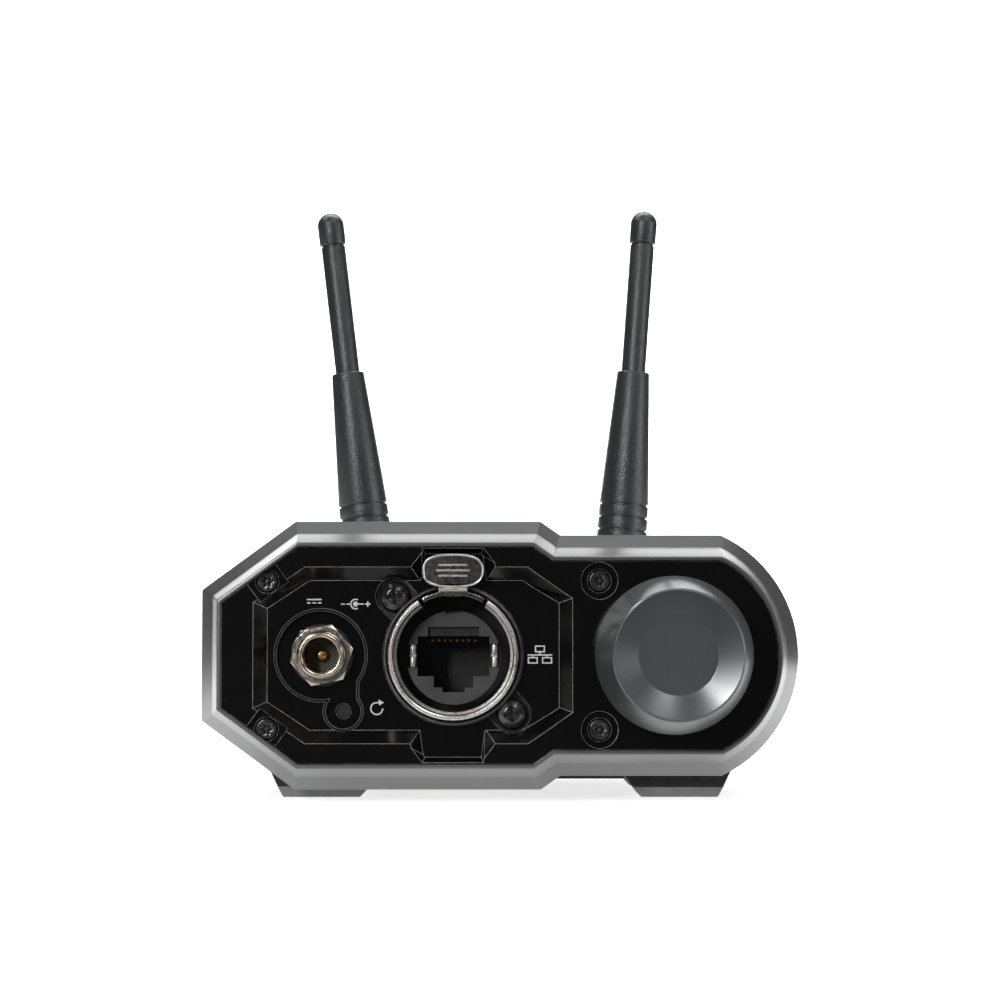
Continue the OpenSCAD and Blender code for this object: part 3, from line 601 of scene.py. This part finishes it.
def key_outline(inset):
    """The pocket round the power jack and the reset button, moved inwards."""
    big, small, half = 7.4 - inset, 2.95 - inset, 2.2 - inset
    corner_r, big_gap, small_gap = 1.3, 0.13, 0.3    # rounding, and the angles that it takes from the arcs
    big_steps, small_steps = 60, 30
    cx, (bx, bz) = DC_X - 0.2, RESET

    def arc(x, z, r, start, end, steps):
        turns = [start + (end - start) * i / steps for i in range(steps + 1)]
        return [(x + r * math.cos(a), z + r * math.sin(a)) for a in turns]

    left, right = -math.acos((bx - half - cx) / big), -math.acos((bx + half - cx) / big)
    low_a = math.acos(half / small)
    points = [(cx + big * math.cos(right), big * math.sin(right))]
    points += arc(cx, 0, big, right + big_gap, left + math.tau - big_gap, big_steps)
    points += [(cx + big * math.cos(left), big * math.sin(left))]
    points += [(bx - half, bz + small * math.sin(low_a))]
    points += arc(bx, bz, small, math.pi - low_a + small_gap, math.tau + low_a - small_gap, small_steps)
    points += [(bx + half, bz + small * math.sin(low_a))]
    big_flat, small_flat = [0] * (big_steps + 1), [0] * (small_steps + 1)
    return fillet(points, [corner_r] + big_flat + [corner_r] * 2 + small_flat + [corner_r], 5)


def make_pocket_rim():
    """A low rim round the key-shaped pocket, its two sloped edges painted paler as a highlight."""
    crest, edge = RECESS_D - 0.25, RECESS_D - 0.1
    outside = [(-0.5, RECESS_D + 0.3), (-0.5, edge), (-0.36, crest)]
    inside = [(-0.1, crest), (0.04, edge), (0.04, POCKET_D)]
    bm = bmesh.new()
    add_rings(bm, [[pt(x, d, z) for x, z in key_outline(inset)] for inset, d in outside + inside])
    rim = finish_piece("pocket_rim", bm, "housing", "panel_black", slot="black_plastic")
    rim.data.materials.append(MATS["plastic_edge_highlight"])
    # Sloped faces take the paler edge finish: a painted highlight along both edges of the rim
    for face in rim.data.polygons:
        if 0.3 < -face.normal.y < 0.95:
            face.material_index = 1


# ---------------------------------------------------------------- stand cap and socket

def make_stand_cap():
    lo, hi = low("stand_cap").y - Y_FRONT, high("stand_cap").y - Y_FRONT
    dish_r, dish_floor = 6.45, lo + 1.8
    rim_r, foot_r, foot_d = 10.37, 13.04, -5.8
    wall_r, inner_d = 7.95, -5.2
    dish = [(0, dish_floor), (dish_r, dish_floor), (rim_r, lo)]
    outside = [(rim_r + 0.35, lo + 0.35), (foot_r, foot_d), (foot_r, foot_d + 0.8), (foot_r - 0.5, hi)]
    inside = [(wall_r, hi), (wall_r, inner_d), (0, inner_d)]
    profile = fillet(dish + outside + inside, [0, 0.25, 0.14, 0.16, 0.4, 0.4, 0.3, 0, 0, 0], 4)
    stand_for("stand_cap", lathe(along_y(CAP_X, 0), profile, segments=144), sharp=24)
    refine("cap_washer", 0.2)
    refine("stand_socket", 0.2)
    refine("cap_plug", 0.04, steps=1)


# ---------------------------------------------------------------- connectors

def make_network_shell():
    """The cast ring: crowned at the front, and open at the top where the latch sits."""
    gap_half, back = 33, 13.0
    throat_r, throat_d, bore_r, outer_r = 9.6, 5.5, 10.0, 10.9
    bore = [(throat_r, back), (throat_r, throat_d), (bore_r, throat_d), (bore_r, -0.6)]
    crown = [(10.12, -0.86), (10.34, -0.98), (10.56, -0.98), (10.78, -0.84), (outer_r, -0.55)]
    profile = fillet(bore + crown + [(outer_r, back)], [0, 0, 0, 0.1, 0.1, 0.1, 0.1, 0.1, 0.1, 0], 2)
    ring = lathe(along_y(NET_X, 0), profile, segments=120, start=90 + gap_half, end=450 - gap_half)
    stand_for("network_shell", ring, sharp=45)


def make_flange_lip():
    """The lip of the network connector's flange, round its hole."""
    inner_r, outer_r, shoulder, foot = 11.2, 11.72, 1.8, 3.4
    crest = [(inner_r, shoulder), (11.4, 1.6), (11.55, 1.6), (outer_r, shoulder)]
    lip = lathe(along_y(NET_X, 0), [(inner_r, foot)] + crest + [(outer_r, foot)], segments=120)
    # Its rounded edges take a pale finish: a painted highlight
    finish_piece("flange_lip", lip, "housing", "panel_black", slot="black_plastic",
                 bevel=0.08, steps=1, edge="plastic_edge_highlight")


def make_network_insert():
    """The insert, with painted shade: every face behind its front is painted black; its rounded edges get a
    painted highlight.
    """
    insert = refine("network_insert", 0.12, edge="plastic_edge_highlight")
    insert.data.materials.append(MATS["black_plastic"])
    # Faces behind the front take black plastic: painted shade inside the insert
    shaded_from_y = low("network_insert").y + 0.3
    for face in insert.data.polygons:
        if face.center.y > shaded_from_y * MM:
            face.material_index = 2


def make_shield_tabs():
    """Spring tabs of the shield, bowed so that they catch the light."""
    off_centre, half, front, back, bulge = 6.85, 0.55, 6.2, 10.6, 0.6
    turns = [math.pi * i / 12 for i in range(13)]
    bm = bmesh.new()
    for s in (-1, 1):
        cx = NET_X + s * off_centre
        for z0, z1 in ((-2.0, -0.3), (0.2, 1.8)):
            bow = [(cx + half * math.cos(a), front - bulge * math.sin(a)) for a in turns]
            bow += [(cx - half, back), (cx + half, back)]
            add_rings(bm, [[pt(px, d, z) for px, d in bow] for z in (z0, z1)], closed=False, caps=True)
        add_slab(bm, rect(2 * half, 0.5, cx, -0.05), front, back)
    stand_for("network_shield_tabs", bm, bevel=0.06)


def make_network():
    make_network_shell()
    # Its rounded edges take a pale finish: a painted highlight
    refine("network_body", 0.13, edge="panel_edge_highlight")
    make_flange_lip()
    make_network_insert()
    refine("network_contacts", 0)
    make_shield_tabs()


def tab_outline(shrink):
    """The push tab, a superellipse a little flatter at its sides. shrink moves it inwards."""
    half_w, half_h, z, n = 5.1 - shrink, 2.8 - shrink, 14.05, 64
    out = []
    for i in range(n):
        a = math.tau * i / n
        c, s = math.cos(a), math.sin(a)
        k = (abs(c) ** 3.0 + abs(s) ** 2.6) ** (-1 / 2.8)
        out.append((half_w * k * c, z + half_h * k * s))
    return out


def add_cross_pin(bm, x, d, z, r, half):
    """A round pin along X, half long to each side of x."""
    turns = [math.tau * i / 24 for i in range(24)]
    rings = [[pt(x + px, d + r * math.cos(a), z + r * math.sin(a)) for a in turns] for px in (-half, half)]
    add_rings(bm, rings, closed=False, caps=True)


def make_latch():
    """The latch: its tab and neck, then the arm that runs back, with its hook and pivot."""
    plate_front, plate_back, neck_w, pivot_z = -0.62, 0.05, 4.8, 11.4
    bow_r0, bow_r1, bow_front, bow_back = 10.05, 10.75, -0.5, 3.0
    bm = bmesh.new()
    add_slab(bm, tab_outline(0.1), plate_front, plate_back, NET_X)
    add_slab(bm, rect(neck_w, 1.6, 0, 11.1, 0.2), plate_front, plate_back, NET_X)
    add_slab(bm, rect(neck_w, 0.8, 0, pivot_z), -0.1, 8.9, NET_X)
    bow = [(bow_r0, bow_front), (bow_r1, bow_front), (bow_r1, bow_back), (bow_r0, bow_back)]
    add_lathe(bm, along_y(NET_X, 0), bow, segments=24, start=61, end=119)
    add_slab(bm, rect(2.8, 1.0, 0, 10.35), 2.0, 3.6, NET_X)
    add_cross_pin(bm, NET_X, 8.3, pivot_z, 0.5, 7)
    # The tab's plate takes the darker finish (painted shade) and its rounded edges a painted highlight
    stand_for("network_latch", bm, "latch_plate_shaded", bevel=0.08, edge="nickel_edge_highlight")


def make_latch_rim():
    """The raised rim of the tab, plain grip ridges on it, and the bend of the neck."""
    sunk, crest = -0.3, -0.85
    rim = [(0.02, sunk), (0.0, -0.72), (0.09, crest), (0.27, crest), (0.38, -0.66), (0.38, sunk)]
    bm = bmesh.new()
    add_rings(bm, [[pt(NET_X + px, d, pz) for px, pz in tab_outline(shrink)] for shrink, d in rim])
    for row in (-0.9, 0.0, 0.9):
        width = 5.6 - abs(row) * 0.8
        add_slab(bm, rect(width, 0.34, 0, 14.1 + row, 0.16), -0.82, sunk, NET_X)
    add_cross_pin(bm, NET_X, -0.2, 10.95, 0.52, 2.35)
    finish_piece("latch_rim", bm, BODY_OF["network_latch"], "nickel", slot=SLOT_OF["network_latch"], sharp=60)


def make_barrel():
    """The power jack's barrel: a rounded mouth, then the thread as rings."""
    lo, hi = low("dc_jack_barrel").y - Y_FRONT, high("dc_jack_barrel").y - Y_FRONT
    bore_r, root_r, thread_r, pitch, plain_r = 2.85, 3.66, 3.95, 0.5, 3.6
    profile = [(bore_r, lo + 0.7), (2.93, lo + 0.32), (3.12, lo + 0.07), (3.38, lo), (3.62, lo + 0.07)]
    profile += [(3.83, lo + 0.3), (3.9, lo + 0.62), (root_r, lo + 0.7)]
    d = lo + 0.8
    while d < 1.0:
        profile += [(thread_r, d + 0.08), (thread_r, d + 0.2), (root_r, d + 0.38), (root_r, d + 0.44)]
        d += pitch
    profile += [(plain_r, 1.1), (plain_r, hi), (bore_r, hi)]
    stand_for("dc_jack_barrel", lathe(along_y(DC_X, 0), profile, segments=120), "turned_nickel", sharp=40)


def make_barrel_nut():
    """The power jack's hexagon nut, with its corners turned down."""
    across, turn, front, back = 9.4, 12, 1.1, 3.0
    face_r, corner_r, corner_d = 4.65, 5.6, 1.55
    mouth_r, hole_r, hole_d = 4.15, 3.62, 1.6
    place = along_y(DC_X, 0)
    block = slab(turned(hexagon_across(across), turn), front, back, DC_X)
    cone = [(0, 1.0), (face_r, 1.0), (corner_r, corner_d), (corner_r, 3.1), (0, 3.1)]
    bore = [(0, 0), (mouth_r, 0), (mouth_r, front), (hole_r, hole_d), (hole_r, 4), (0, 4)]
    nut = cut(block, [lathe(place, cone, segments=96)], "INTERSECT")
    nut = cut(nut, [lathe(place, bore, segments=96)])
    # Its rounded edges take a pale finish: a painted highlight
    stand_for("dc_jack_nut", nut, "turned_nickel", bevel=0.07, angle=25, edge="nickel_edge_highlight")


def make_centre_pin():
    """The power jack's centre pin, tapered to a rounded end."""
    tip_r, r, tip_d, full_d, end = 0.62, 1.0, 2.6, 3.2, 16
    pin = fillet([(0, tip_d), (tip_r, tip_d), (r, full_d), (r, end), (0, end)], [0, 0.3, 0.3, 0, 0], 3)
    stand_for("dc_centre_pin", lathe(along_y(DC_X, 0), pin, segments=48))


def make_power_jack():
    make_barrel()
    make_barrel_nut()
    refine("dc_jack_washer", 0.1, "black_screw")
    refine("dc_jack_insulator", 0.12)
    make_centre_pin()


# ---------------------------------------------------------------- screws

def screw(x, z, d, r, h, shank, end, rear=False, domed=False):
    """A screw along Y: chamfered with a lobed recess and a security pin, or domed with a cross recess."""
    place = along_y(x, z, rear)
    shaft = [(r, d + h), (shank, d + h), (shank, end), (0, end)]
    if domed:
        head = [(0, d), (r * 0.5, d + 0.06), (r * 0.86, d + h * 0.36), (r, d + h * 0.78)]
        profile = fillet(head + shaft, [0, 0.5, 0.6, 0.2, 0, 0, 0, 0], 4)
        shape = turned(cross(1.4, 0.36), 8)
    else:
        head = [(0, d), (r - 0.1, d), (r, d + 0.3)]
        profile = fillet(head + shaft, [0, 0.18, 0.18, 0, 0, 0, 0], 3)
        shape = lobes(r * 0.62)
    recess_end = d + h * 0.6
    recess = bmesh.new()
    add_slab(recess, shape, d - 0.2, recess_end, x, z, rear)
    body = cut(lathe(place, profile, segments=64), [recess])
    if not domed:
        tip_r, foot_r = r * 0.12, r * 0.17
        pin = [(0, d + 0.2), (tip_r, d + 0.2), (foot_r, d + 0.35), (foot_r, recess_end), (0, recess_end)]
        add_lathe(body, place, pin, segments=20)
    return body


def make_screws():
    # The screws' rounded edges take a pale finish: a painted highlight round each head
    for node, rear in (("case_screws", False), ("rear_screws", True)):
        bm = bmesh.new()
        for x, z in CASE:
            merge(bm, screw(x, z, d=1.6, r=1.75, h=1.8, shank=1.15, end=25.0, rear=rear))
        stand_for(node, bm, bevel=0.1, angle=40, edge="screw_edge_highlight")
    bm = bmesh.new()
    ear = 9.8
    for s in (-1, 1):
        merge(bm, screw(NET_X - s * ear, s * ear, d=1.2, r=2.65, h=2.18, shank=1.15, end=13.5, domed=True))
    stand_for("network_screws", bm, bevel=0.15, angle=40, edge="screw_edge_highlight")
    refine("shell_screws", 0.15)


# ---------------------------------------------------------------- printed symbols

PRINT_TOP = RECESS_D - 0.04
PRINT_UNDER = RECESS_D + 0.05
STROKE = 0.22


def bar(bm, x0, z0, x1, z1):
    add_slab(bm, [(x0, z0), (x1, z0), (x1, z1), (x0, z1)], PRINT_TOP, PRINT_UNDER)


def frame_box(bm, x, z, w, h):
    bar(bm, x - w / 2, z + h / 2 - STROKE, x + w / 2, z + h / 2)
    bar(bm, x - w / 2, z - h / 2, x + w / 2, z - h / 2 + STROKE)
    bar(bm, x - w / 2, z - h / 2 + STROKE, x - w / 2 + STROKE, z + h / 2 - STROKE)
    bar(bm, x + w / 2 - STROKE, z - h / 2 + STROKE, x + w / 2, z + h / 2 - STROKE)


def open_ring(bm, x, z, r, start, end):
    arc = [math.radians(a) for a in range(start, end + 1, 10)]
    outer = [(x + r * math.cos(a), z + r * math.sin(a)) for a in arc]
    r -= STROKE
    inner = [(x + r * math.cos(a), z + r * math.sin(a)) for a in reversed(arc)]
    add_slab(bm, outer + inner, PRINT_TOP, PRINT_UNDER)


def print_supply(x, z):
    """Direct current: a line over three dashes."""
    bm = bmesh.new()
    bar(bm, x - 1.25, z + 0.2, x + 1.25, z + 0.42)
    for i in (-1, 0, 1):
        bar(bm, x + i * 0.9 - 0.3, z - 0.36, x + i * 0.9 + 0.3, z - 0.14)
    finish_piece("print_supply", bm, "housing", "print_white")


def print_polarity(x, z):
    """Polarity: minus, a ring with a dot, plus."""
    bm = bmesh.new()
    bar(bm, x - 2.45, z - 0.1, x - 1.75, z + 0.1)
    bar(bm, x - 1.5, z - 0.1, x - 0.85, z + 0.1)
    add_slab(bm, circle(0.42, 24, x, z), PRINT_TOP, PRINT_UNDER)
    open_ring(bm, x, z, 0.9, 60, 300)
    bar(bm, x + 0.42, z - 0.1, x + 1.4, z + 0.1)
    bar(bm, x + 1.6, z - 0.12, x + 2.5, z + 0.12)
    bar(bm, x + 1.93, z + 0.12, x + 2.17, z + 0.45)
    bar(bm, x + 1.93, z - 0.45, x + 2.17, z - 0.12)
    finish_piece("print_polarity", bm, "housing", "print_white")


def print_reset(x, z):
    """Reset: a circular arrow."""
    bm = bmesh.new()
    open_ring(bm, x, z, 1.1, 70, 360)
    head = [(x + 0.42, z + 0.5), (x + 0.3, z + 1.5), (x + 1.2, z + 1.0)]
    add_slab(bm, head, PRINT_TOP, PRINT_UNDER)
    finish_piece("print_reset", bm, "housing", "print_white")


def print_network(x, z):
    """Network: one box over two, joined."""
    bm = bmesh.new()
    half = STROKE / 2
    frame_box(bm, x, z + 0.95, 1.7, 1.15)
    bar(bm, x - half, z + 0.05, x + half, z + 0.38)
    bar(bm, x - 2.05, z - 0.17, x + 2.05, z + 0.05)
    for s in (-1, 1):
        bar(bm, x + s * 1.2 - half, z - 0.4, x + s * 1.2 + half, z - 0.17)
        frame_box(bm, x + s * 1.2, z - 0.95, 1.7, 1.1)
    finish_piece("print_network", bm, "housing", "print_white")


def make_prints():
    """Generic line symbols, a few hundredths of a millimetre proud of the panel."""
    print_supply(-31.1, 9.0)
    print_polarity(-24.2, 8.55)
    print_reset(-20.6, -8.9)
    print_network(6.68, 0.1)


# ---------------------------------------------------------------- antennas

def sleeve_radius(h):
    """Radius of a sleeve's ringed part."""
    foot_r, top_r = 5.5, 5.15
    return foot_r + (top_r - foot_r) * (h - SLEEVE_FOOT) / (RINGS_TOP - SLEEVE_FOOT)


def make_sleeve(side):
    ring_count, pitch, groove_w, groove_deep = 7, 2.7, 0.45, 0.4
    bore_r, bore_h = 2.56, 30.0
    foot_r = sleeve_radius(SLEEVE_FOOT)
    profile = [(0, SLEEVE_FOOT), (foot_r - 0.3, SLEEVE_FOOT), (foot_r, SLEEVE_FOOT + 0.3)]
    corner = [0, 0, 0]
    for i in range(ring_count):
        h1 = RINGS_TOP - (ring_count - 1 - i) * pitch
        h0 = h1 - groove_w
        r0, r1 = sleeve_radius(h0), sleeve_radius(h1)
        profile += [(r0, h0), (r0 - groove_deep, h0 + 0.04), (r1 - groove_deep, h1 - 0.04), (r1, h1)]
        corner += [0.16, 0, 0, 0.16]
    profile += [(3.4, SLEEVE_TOP), (bore_r, SLEEVE_TOP), (bore_r, bore_h), (0, bore_h)]
    corner += [0.35, 0.12, 0, 0]
    bm = lathe(up_antenna(side), fillet(profile, corner, 3), segments=72)
    # Hinge lug under the rings, cut flat where the antenna folds down
    place = on_jack(side)
    lug_r, lug_top, lug_half, pin_bore_r = 4.4, 6.2, 2.35, 1.56
    half_turn = [math.radians(-180 + 180 * i / 32) for i in range(33)]
    lug = [(lug_r * math.cos(a), lug_r * math.sin(a)) for a in half_turn]
    lug += [(lug_r, lug_top), (-1.4, lug_top), (-1.4, lug_r * 0.95), (-4.18, 1.37)]
    slabs = []
    for shape, half in ((lug, lug_half), (circle(pin_bore_r, 40), 3.0)):
        part = bmesh.new()
        rings = [[place(px, y, z) for y, z in shape] for px in (-half, half)]
        add_rings(part, rings, closed=False, caps=True)
        slabs.append(part)
    merge(bm, cut(slabs[0], [slabs[1]]))
    stand_for(side + "_sleeve", bm, sharp=30)


def make_rod(side):
    r, neck_r, spigot_r, foot, top = 2.53, 2.28, 1.5, 30.1, 84.6
    neck_foot, neck_top = 81.3, TIP_FOOT - 0.1
    shaft = [(0, foot), (r, foot), (r, neck_foot - 0.05)]
    neck = [(neck_r, neck_foot), (neck_r, neck_top), (spigot_r, neck_top), (spigot_r, top), (0, top)]
    rod = fillet(shaft + neck, [0, 0, 0.06, 0, 0, 0, 0, 0], 2)
    stand_for(side + "_rod", lathe(up_antenna(side), rod, segments=64), sharp=30)


def make_tip(side):
    r, bore_r, bore_top = 2.8, 1.52, 84.7
    tip = [(0, bore_top), (bore_r, bore_top), (bore_r, TIP_FOOT + 0.02)]
    tip += fillet([(1.6, TIP_FOOT), (r - 0.05, TIP_FOOT), (r, 82.3)], [0, 0.2, 0], 3)[1:-1]
    steps = 16
    for i in range(steps + 1):
        a = math.radians(90 * i / steps)
        tip.append((r * math.cos(a) if i < steps else 0.0, ANTENNA_TOP - r + r * math.sin(a)))
    stand_for(side + "_tip", lathe(up_antenna(side), tip, segments=64), sharp=30)


def make_nuts():
    """Knurled coupling nuts of the antennas."""
    crest_r, rim_r, bore_r, hole_r = 4.5, 4.1, 3.22, 2.27
    knurl_from, knurl_deep = 4.3, 0.28
    front, back, inner = BODY_LEN + 1.2, BODY_LEN + 8.4, BODY_LEN + 7.3
    outside = [(bore_r, front), (rim_r, front), (crest_r, front + 0.4), (crest_r, back - 0.4), (rim_r, back)]
    inside = [(hole_r, back), (hole_r, inner), (bore_r, inner)]
    profile = fillet(outside + inside, [0, 0.1, 0.1, 0.1, 0.1, 0, 0, 0], 2)

    def ripple(i, r):
        return r - (knurl_deep if r > knurl_from and i % 4 in (2, 3) else 0.0)

    bm = bmesh.new()
    for x in JACK_X.values():
        add_lathe(bm, along_y(x, JACK_Z), profile, segments=144, ripple=ripple)
    stand_for("antenna_nuts", bm, sharp=25)


def make_jacks():
    """Antenna jacks, with their thread as rings."""
    crest_r, root_r, mouth_r, pitch = 3.15, 2.88, 2.3, 0.7
    for side, x in JACK_X.items():
        profile = [(0, BODY_LEN - 9), (crest_r, BODY_LEN - 9), (crest_r, BODY_LEN - 1.4)]
        d = BODY_LEN - 1.3
        while d < BODY_LEN + 6.5:
            profile += [(crest_r, d), (crest_r, d + 0.12), (root_r, d + 0.36), (root_r, d + 0.42)]
            d += pitch
        profile += [(2.9, BODY_LEN + 7), (mouth_r, BODY_LEN + 7), (mouth_r, BODY_LEN + 3), (0, BODY_LEN + 3)]
        bm = lathe(along_y(x, JACK_Z), profile, segments=72)
        add_slab(bm, hexagon_across(8), BODY_LEN - 7.1, BODY_LEN - 5.05, x, JACK_Z)
        stand_for(side + "_jack", bm, sharp=40)


def make_antennas():
    for side in ("left", "right"):
        make_sleeve(side)
        make_rod(side)
        make_tip(side)
        refine(side + "_antenna_base", 0.25, angle=35)
        refine(side + "_fold_pin", 0.15)
    make_nuts()
    make_jacks()
    refine("jack_nuts", 0.2)


# ---------------------------------------------------------------- everything else

def make_rest():
    for node in ("front_left_foot", "front_right_foot", "rear_left_foot", "rear_right_foot"):
        foot = refine(node, 0.25, angle=20)
        # Faces low on each foot take the paler grey: painted light from the floor
        foot.data.materials.append(MATS["foot_floor_light"])
        for face in foot.data.polygons:
            if face.center.z < FLOOR_LIT_TOP * MM and face.normal.z < 0.5:
                face.material_index = 1
    for node in ("status_lenses", "bracket_inserts", "reset_button", "main_board", "board_chips",
                 "rf_shield_can", "network_transformer", "board_screws", "reset_switch", "dc_jack_body"):
        refine(node, 0.1)
    for node, obj in nodes.items():
        obj.data.materials.clear()
        obj.data.materials.append(MATS[SLOT_OF[node]])


# ---------------------------------------------------------------- stage

WALL_HALF = 0.425   # metres from the middle to the paper's edge
WALL_RIGHT = 0.36   # the paper is narrower on the right
WALL_TOP = 0.54
GLOW = 0.6          # light of the paper on the object, under it and at the wall
WALL_GLOW = 2.2
SEEN_GLOW = 0.75
WORLD = 0.1
LIT_FROM = -0.11    # Y where the paper's light on the object starts, and where it is whole
LIT_WHOLLY = -0.045


def area_light(name, place, target, size, power):
    data = bpy.data.lights.new(name, "AREA")
    data.shape = "RECTANGLE"
    data.size, data.size_y = size
    data.energy = power
    obj = bpy.data.objects.new(name, data)
    obj.location = place
    obj.rotation_euler = (Vector(target) - Vector(place)).to_track_quat("-Z", "Y").to_euler()
    scene.collection.objects.link(obj)
    return obj


def make_paper_material():
    """White paper: seen by the camera as even, and as a lamp by the object."""
    s = Shader("floor", Roughness=0.85, Specular_IOR_Level=0.1)
    s.bsdf.inputs["Emission Color"].default_value = (1, 1, 1, 1)
    # Only the paper beside and behind the object is lit; the front of the studio is dark
    split = s.add("ShaderNodeSeparateXYZ")
    s.link(s.coord.outputs["Object"], split.inputs[0])
    lit = s.add("ShaderNodeMapRange")
    lit.inputs["From Min"].default_value = LIT_FROM
    lit.inputs["From Max"].default_value = LIT_WHOLLY
    s.link(split.outputs["Y"], lit.inputs["Value"])
    seen = s.add("ShaderNodeLightPath").outputs["Is Camera Ray"]
    paper = s.ramp(s.noise(3, 2), [(0.35, srgb(238, 238, 238)), (0.65, srgb(243, 243, 243))])
    unseen = s.mix(lit.outputs["Result"], srgb(70, 70, 70), srgb(238, 238, 238))
    s.link(s.mix(seen, unseen, paper), s.bsdf.inputs["Base Color"])
    wall = s.add("ShaderNodeMapRange")
    for key, value in (("From Min", 0.5), ("From Max", 1.0), ("To Min", GLOW), ("To Max", WALL_GLOW)):
        wall.inputs[key].default_value = value
    s.link(split.outputs["Y"], wall.inputs["Value"])
    unseen_glow = s.mix(lit.outputs["Result"], (0, 0, 0, 1), wall.outputs["Result"])
    glow = s.mix(seen, unseen_glow, (SEEN_GLOW, SEEN_GLOW, SEEN_GLOW, 1))
    s.link(glow, s.bsdf.inputs["Emission Strength"])
    return s.mat


def make_paper():
    """A paper sweep: a floor, then a bend up into a low wall behind."""
    front, bend_start, bend, steps = -0.9, 0.75, 0.3, 12
    rows = [(front, 0.0), (bend_start, 0.0)]
    for i in range(1, steps + 1):
        a = math.radians(90 * i / steps)
        rows.append((bend_start + bend * math.sin(a), bend - bend * math.cos(a)))
    rows.append((bend_start + bend, WALL_TOP))
    mesh = bpy.data.meshes.new("floor")
    mesh.from_pydata(
        [(x, y, z) for y, z in rows for x in (-WALL_HALF, WALL_RIGHT)], [],
        [(2 * i, 2 * i + 1, 2 * i + 3, 2 * i + 2) for i in range(len(rows) - 1)],
    )
    for p in mesh.polygons:
        p.use_smooth = True
    mesh.materials.append(make_paper_material())
    obj = bpy.data.objects.new("floor", mesh)
    scene.collection.objects.link(obj)


def make_world():
    """The studio is dark for reflections, and pale where the camera looks past the paper."""
    world = bpy.data.worlds.new("world")
    scene.world = world
    world.use_nodes = True
    tree = world.node_tree
    back = tree.nodes["Background"]
    back.inputs["Color"].default_value = (1, 1, 1, 1)
    path = tree.nodes.new("ShaderNodeLightPath")
    pale = tree.nodes.new("ShaderNodeMapRange")
    pale.inputs["To Min"].default_value = WORLD
    pale.inputs["To Max"].default_value = 1.0
    tree.links.new(path.outputs["Is Camera Ray"], pale.inputs["Value"])
    tree.links.new(pale.outputs["Result"], back.inputs["Strength"])


def make_lights():
    area_light("top", (0.0, 0.3, 0.9), (0, 0, 0.03), (0.8, 0.4), 5)
    area_light("key", (0.4, -0.7, 0.95), (0, 0, 0.04), (0.5, 0.5), 3.2)
    area_light("left_strip", (-0.4, -0.95, 0.36), (0, 0, 0.14), (0.08, 0.44), 5.2)
    area_light("corner", (-0.5, -0.1, 0.72), (0, 0, 0.03), (0.2, 0.2), 1.0)
    area_light("right_side", (0.95, -0.3, 0.2), (0, 0, 0.07), (0.3, 0.5), 2.4)
    area_light("right_fill", (0.8, -0.75, 0.1), (0, 0, 0.05), (0.5, 0.4), 0.35)
    area_light("backdrop", (0.0, 0.35, 0.75), (0, 1.05, 0.15), (1.0, 0.3), 10)


def make_camera():
    distance, tilt_up = 450, 3.29
    data = bpy.data.cameras.new("camera")
    data.sensor_width = 36.0
    data.lens = 97.2
    data.clip_start = 0.02
    cam = bpy.data.objects.new("camera", data)
    cam.location = pt(0, -distance, 0)
    cam.rotation_euler = (math.radians(90 + tilt_up), 0, 0)
    scene.collection.objects.link(cam)
    scene.camera = cam


make_end_caps()
make_shells()
make_panels()
make_pocket_rim()
make_stand_cap()
make_network()
make_latch()
make_latch_rim()
make_power_jack()
make_screws()
make_prints()
make_antennas()
make_rest()
make_paper()
make_world()
make_lights()
make_camera()
scene.view_settings.view_transform = "Standard"
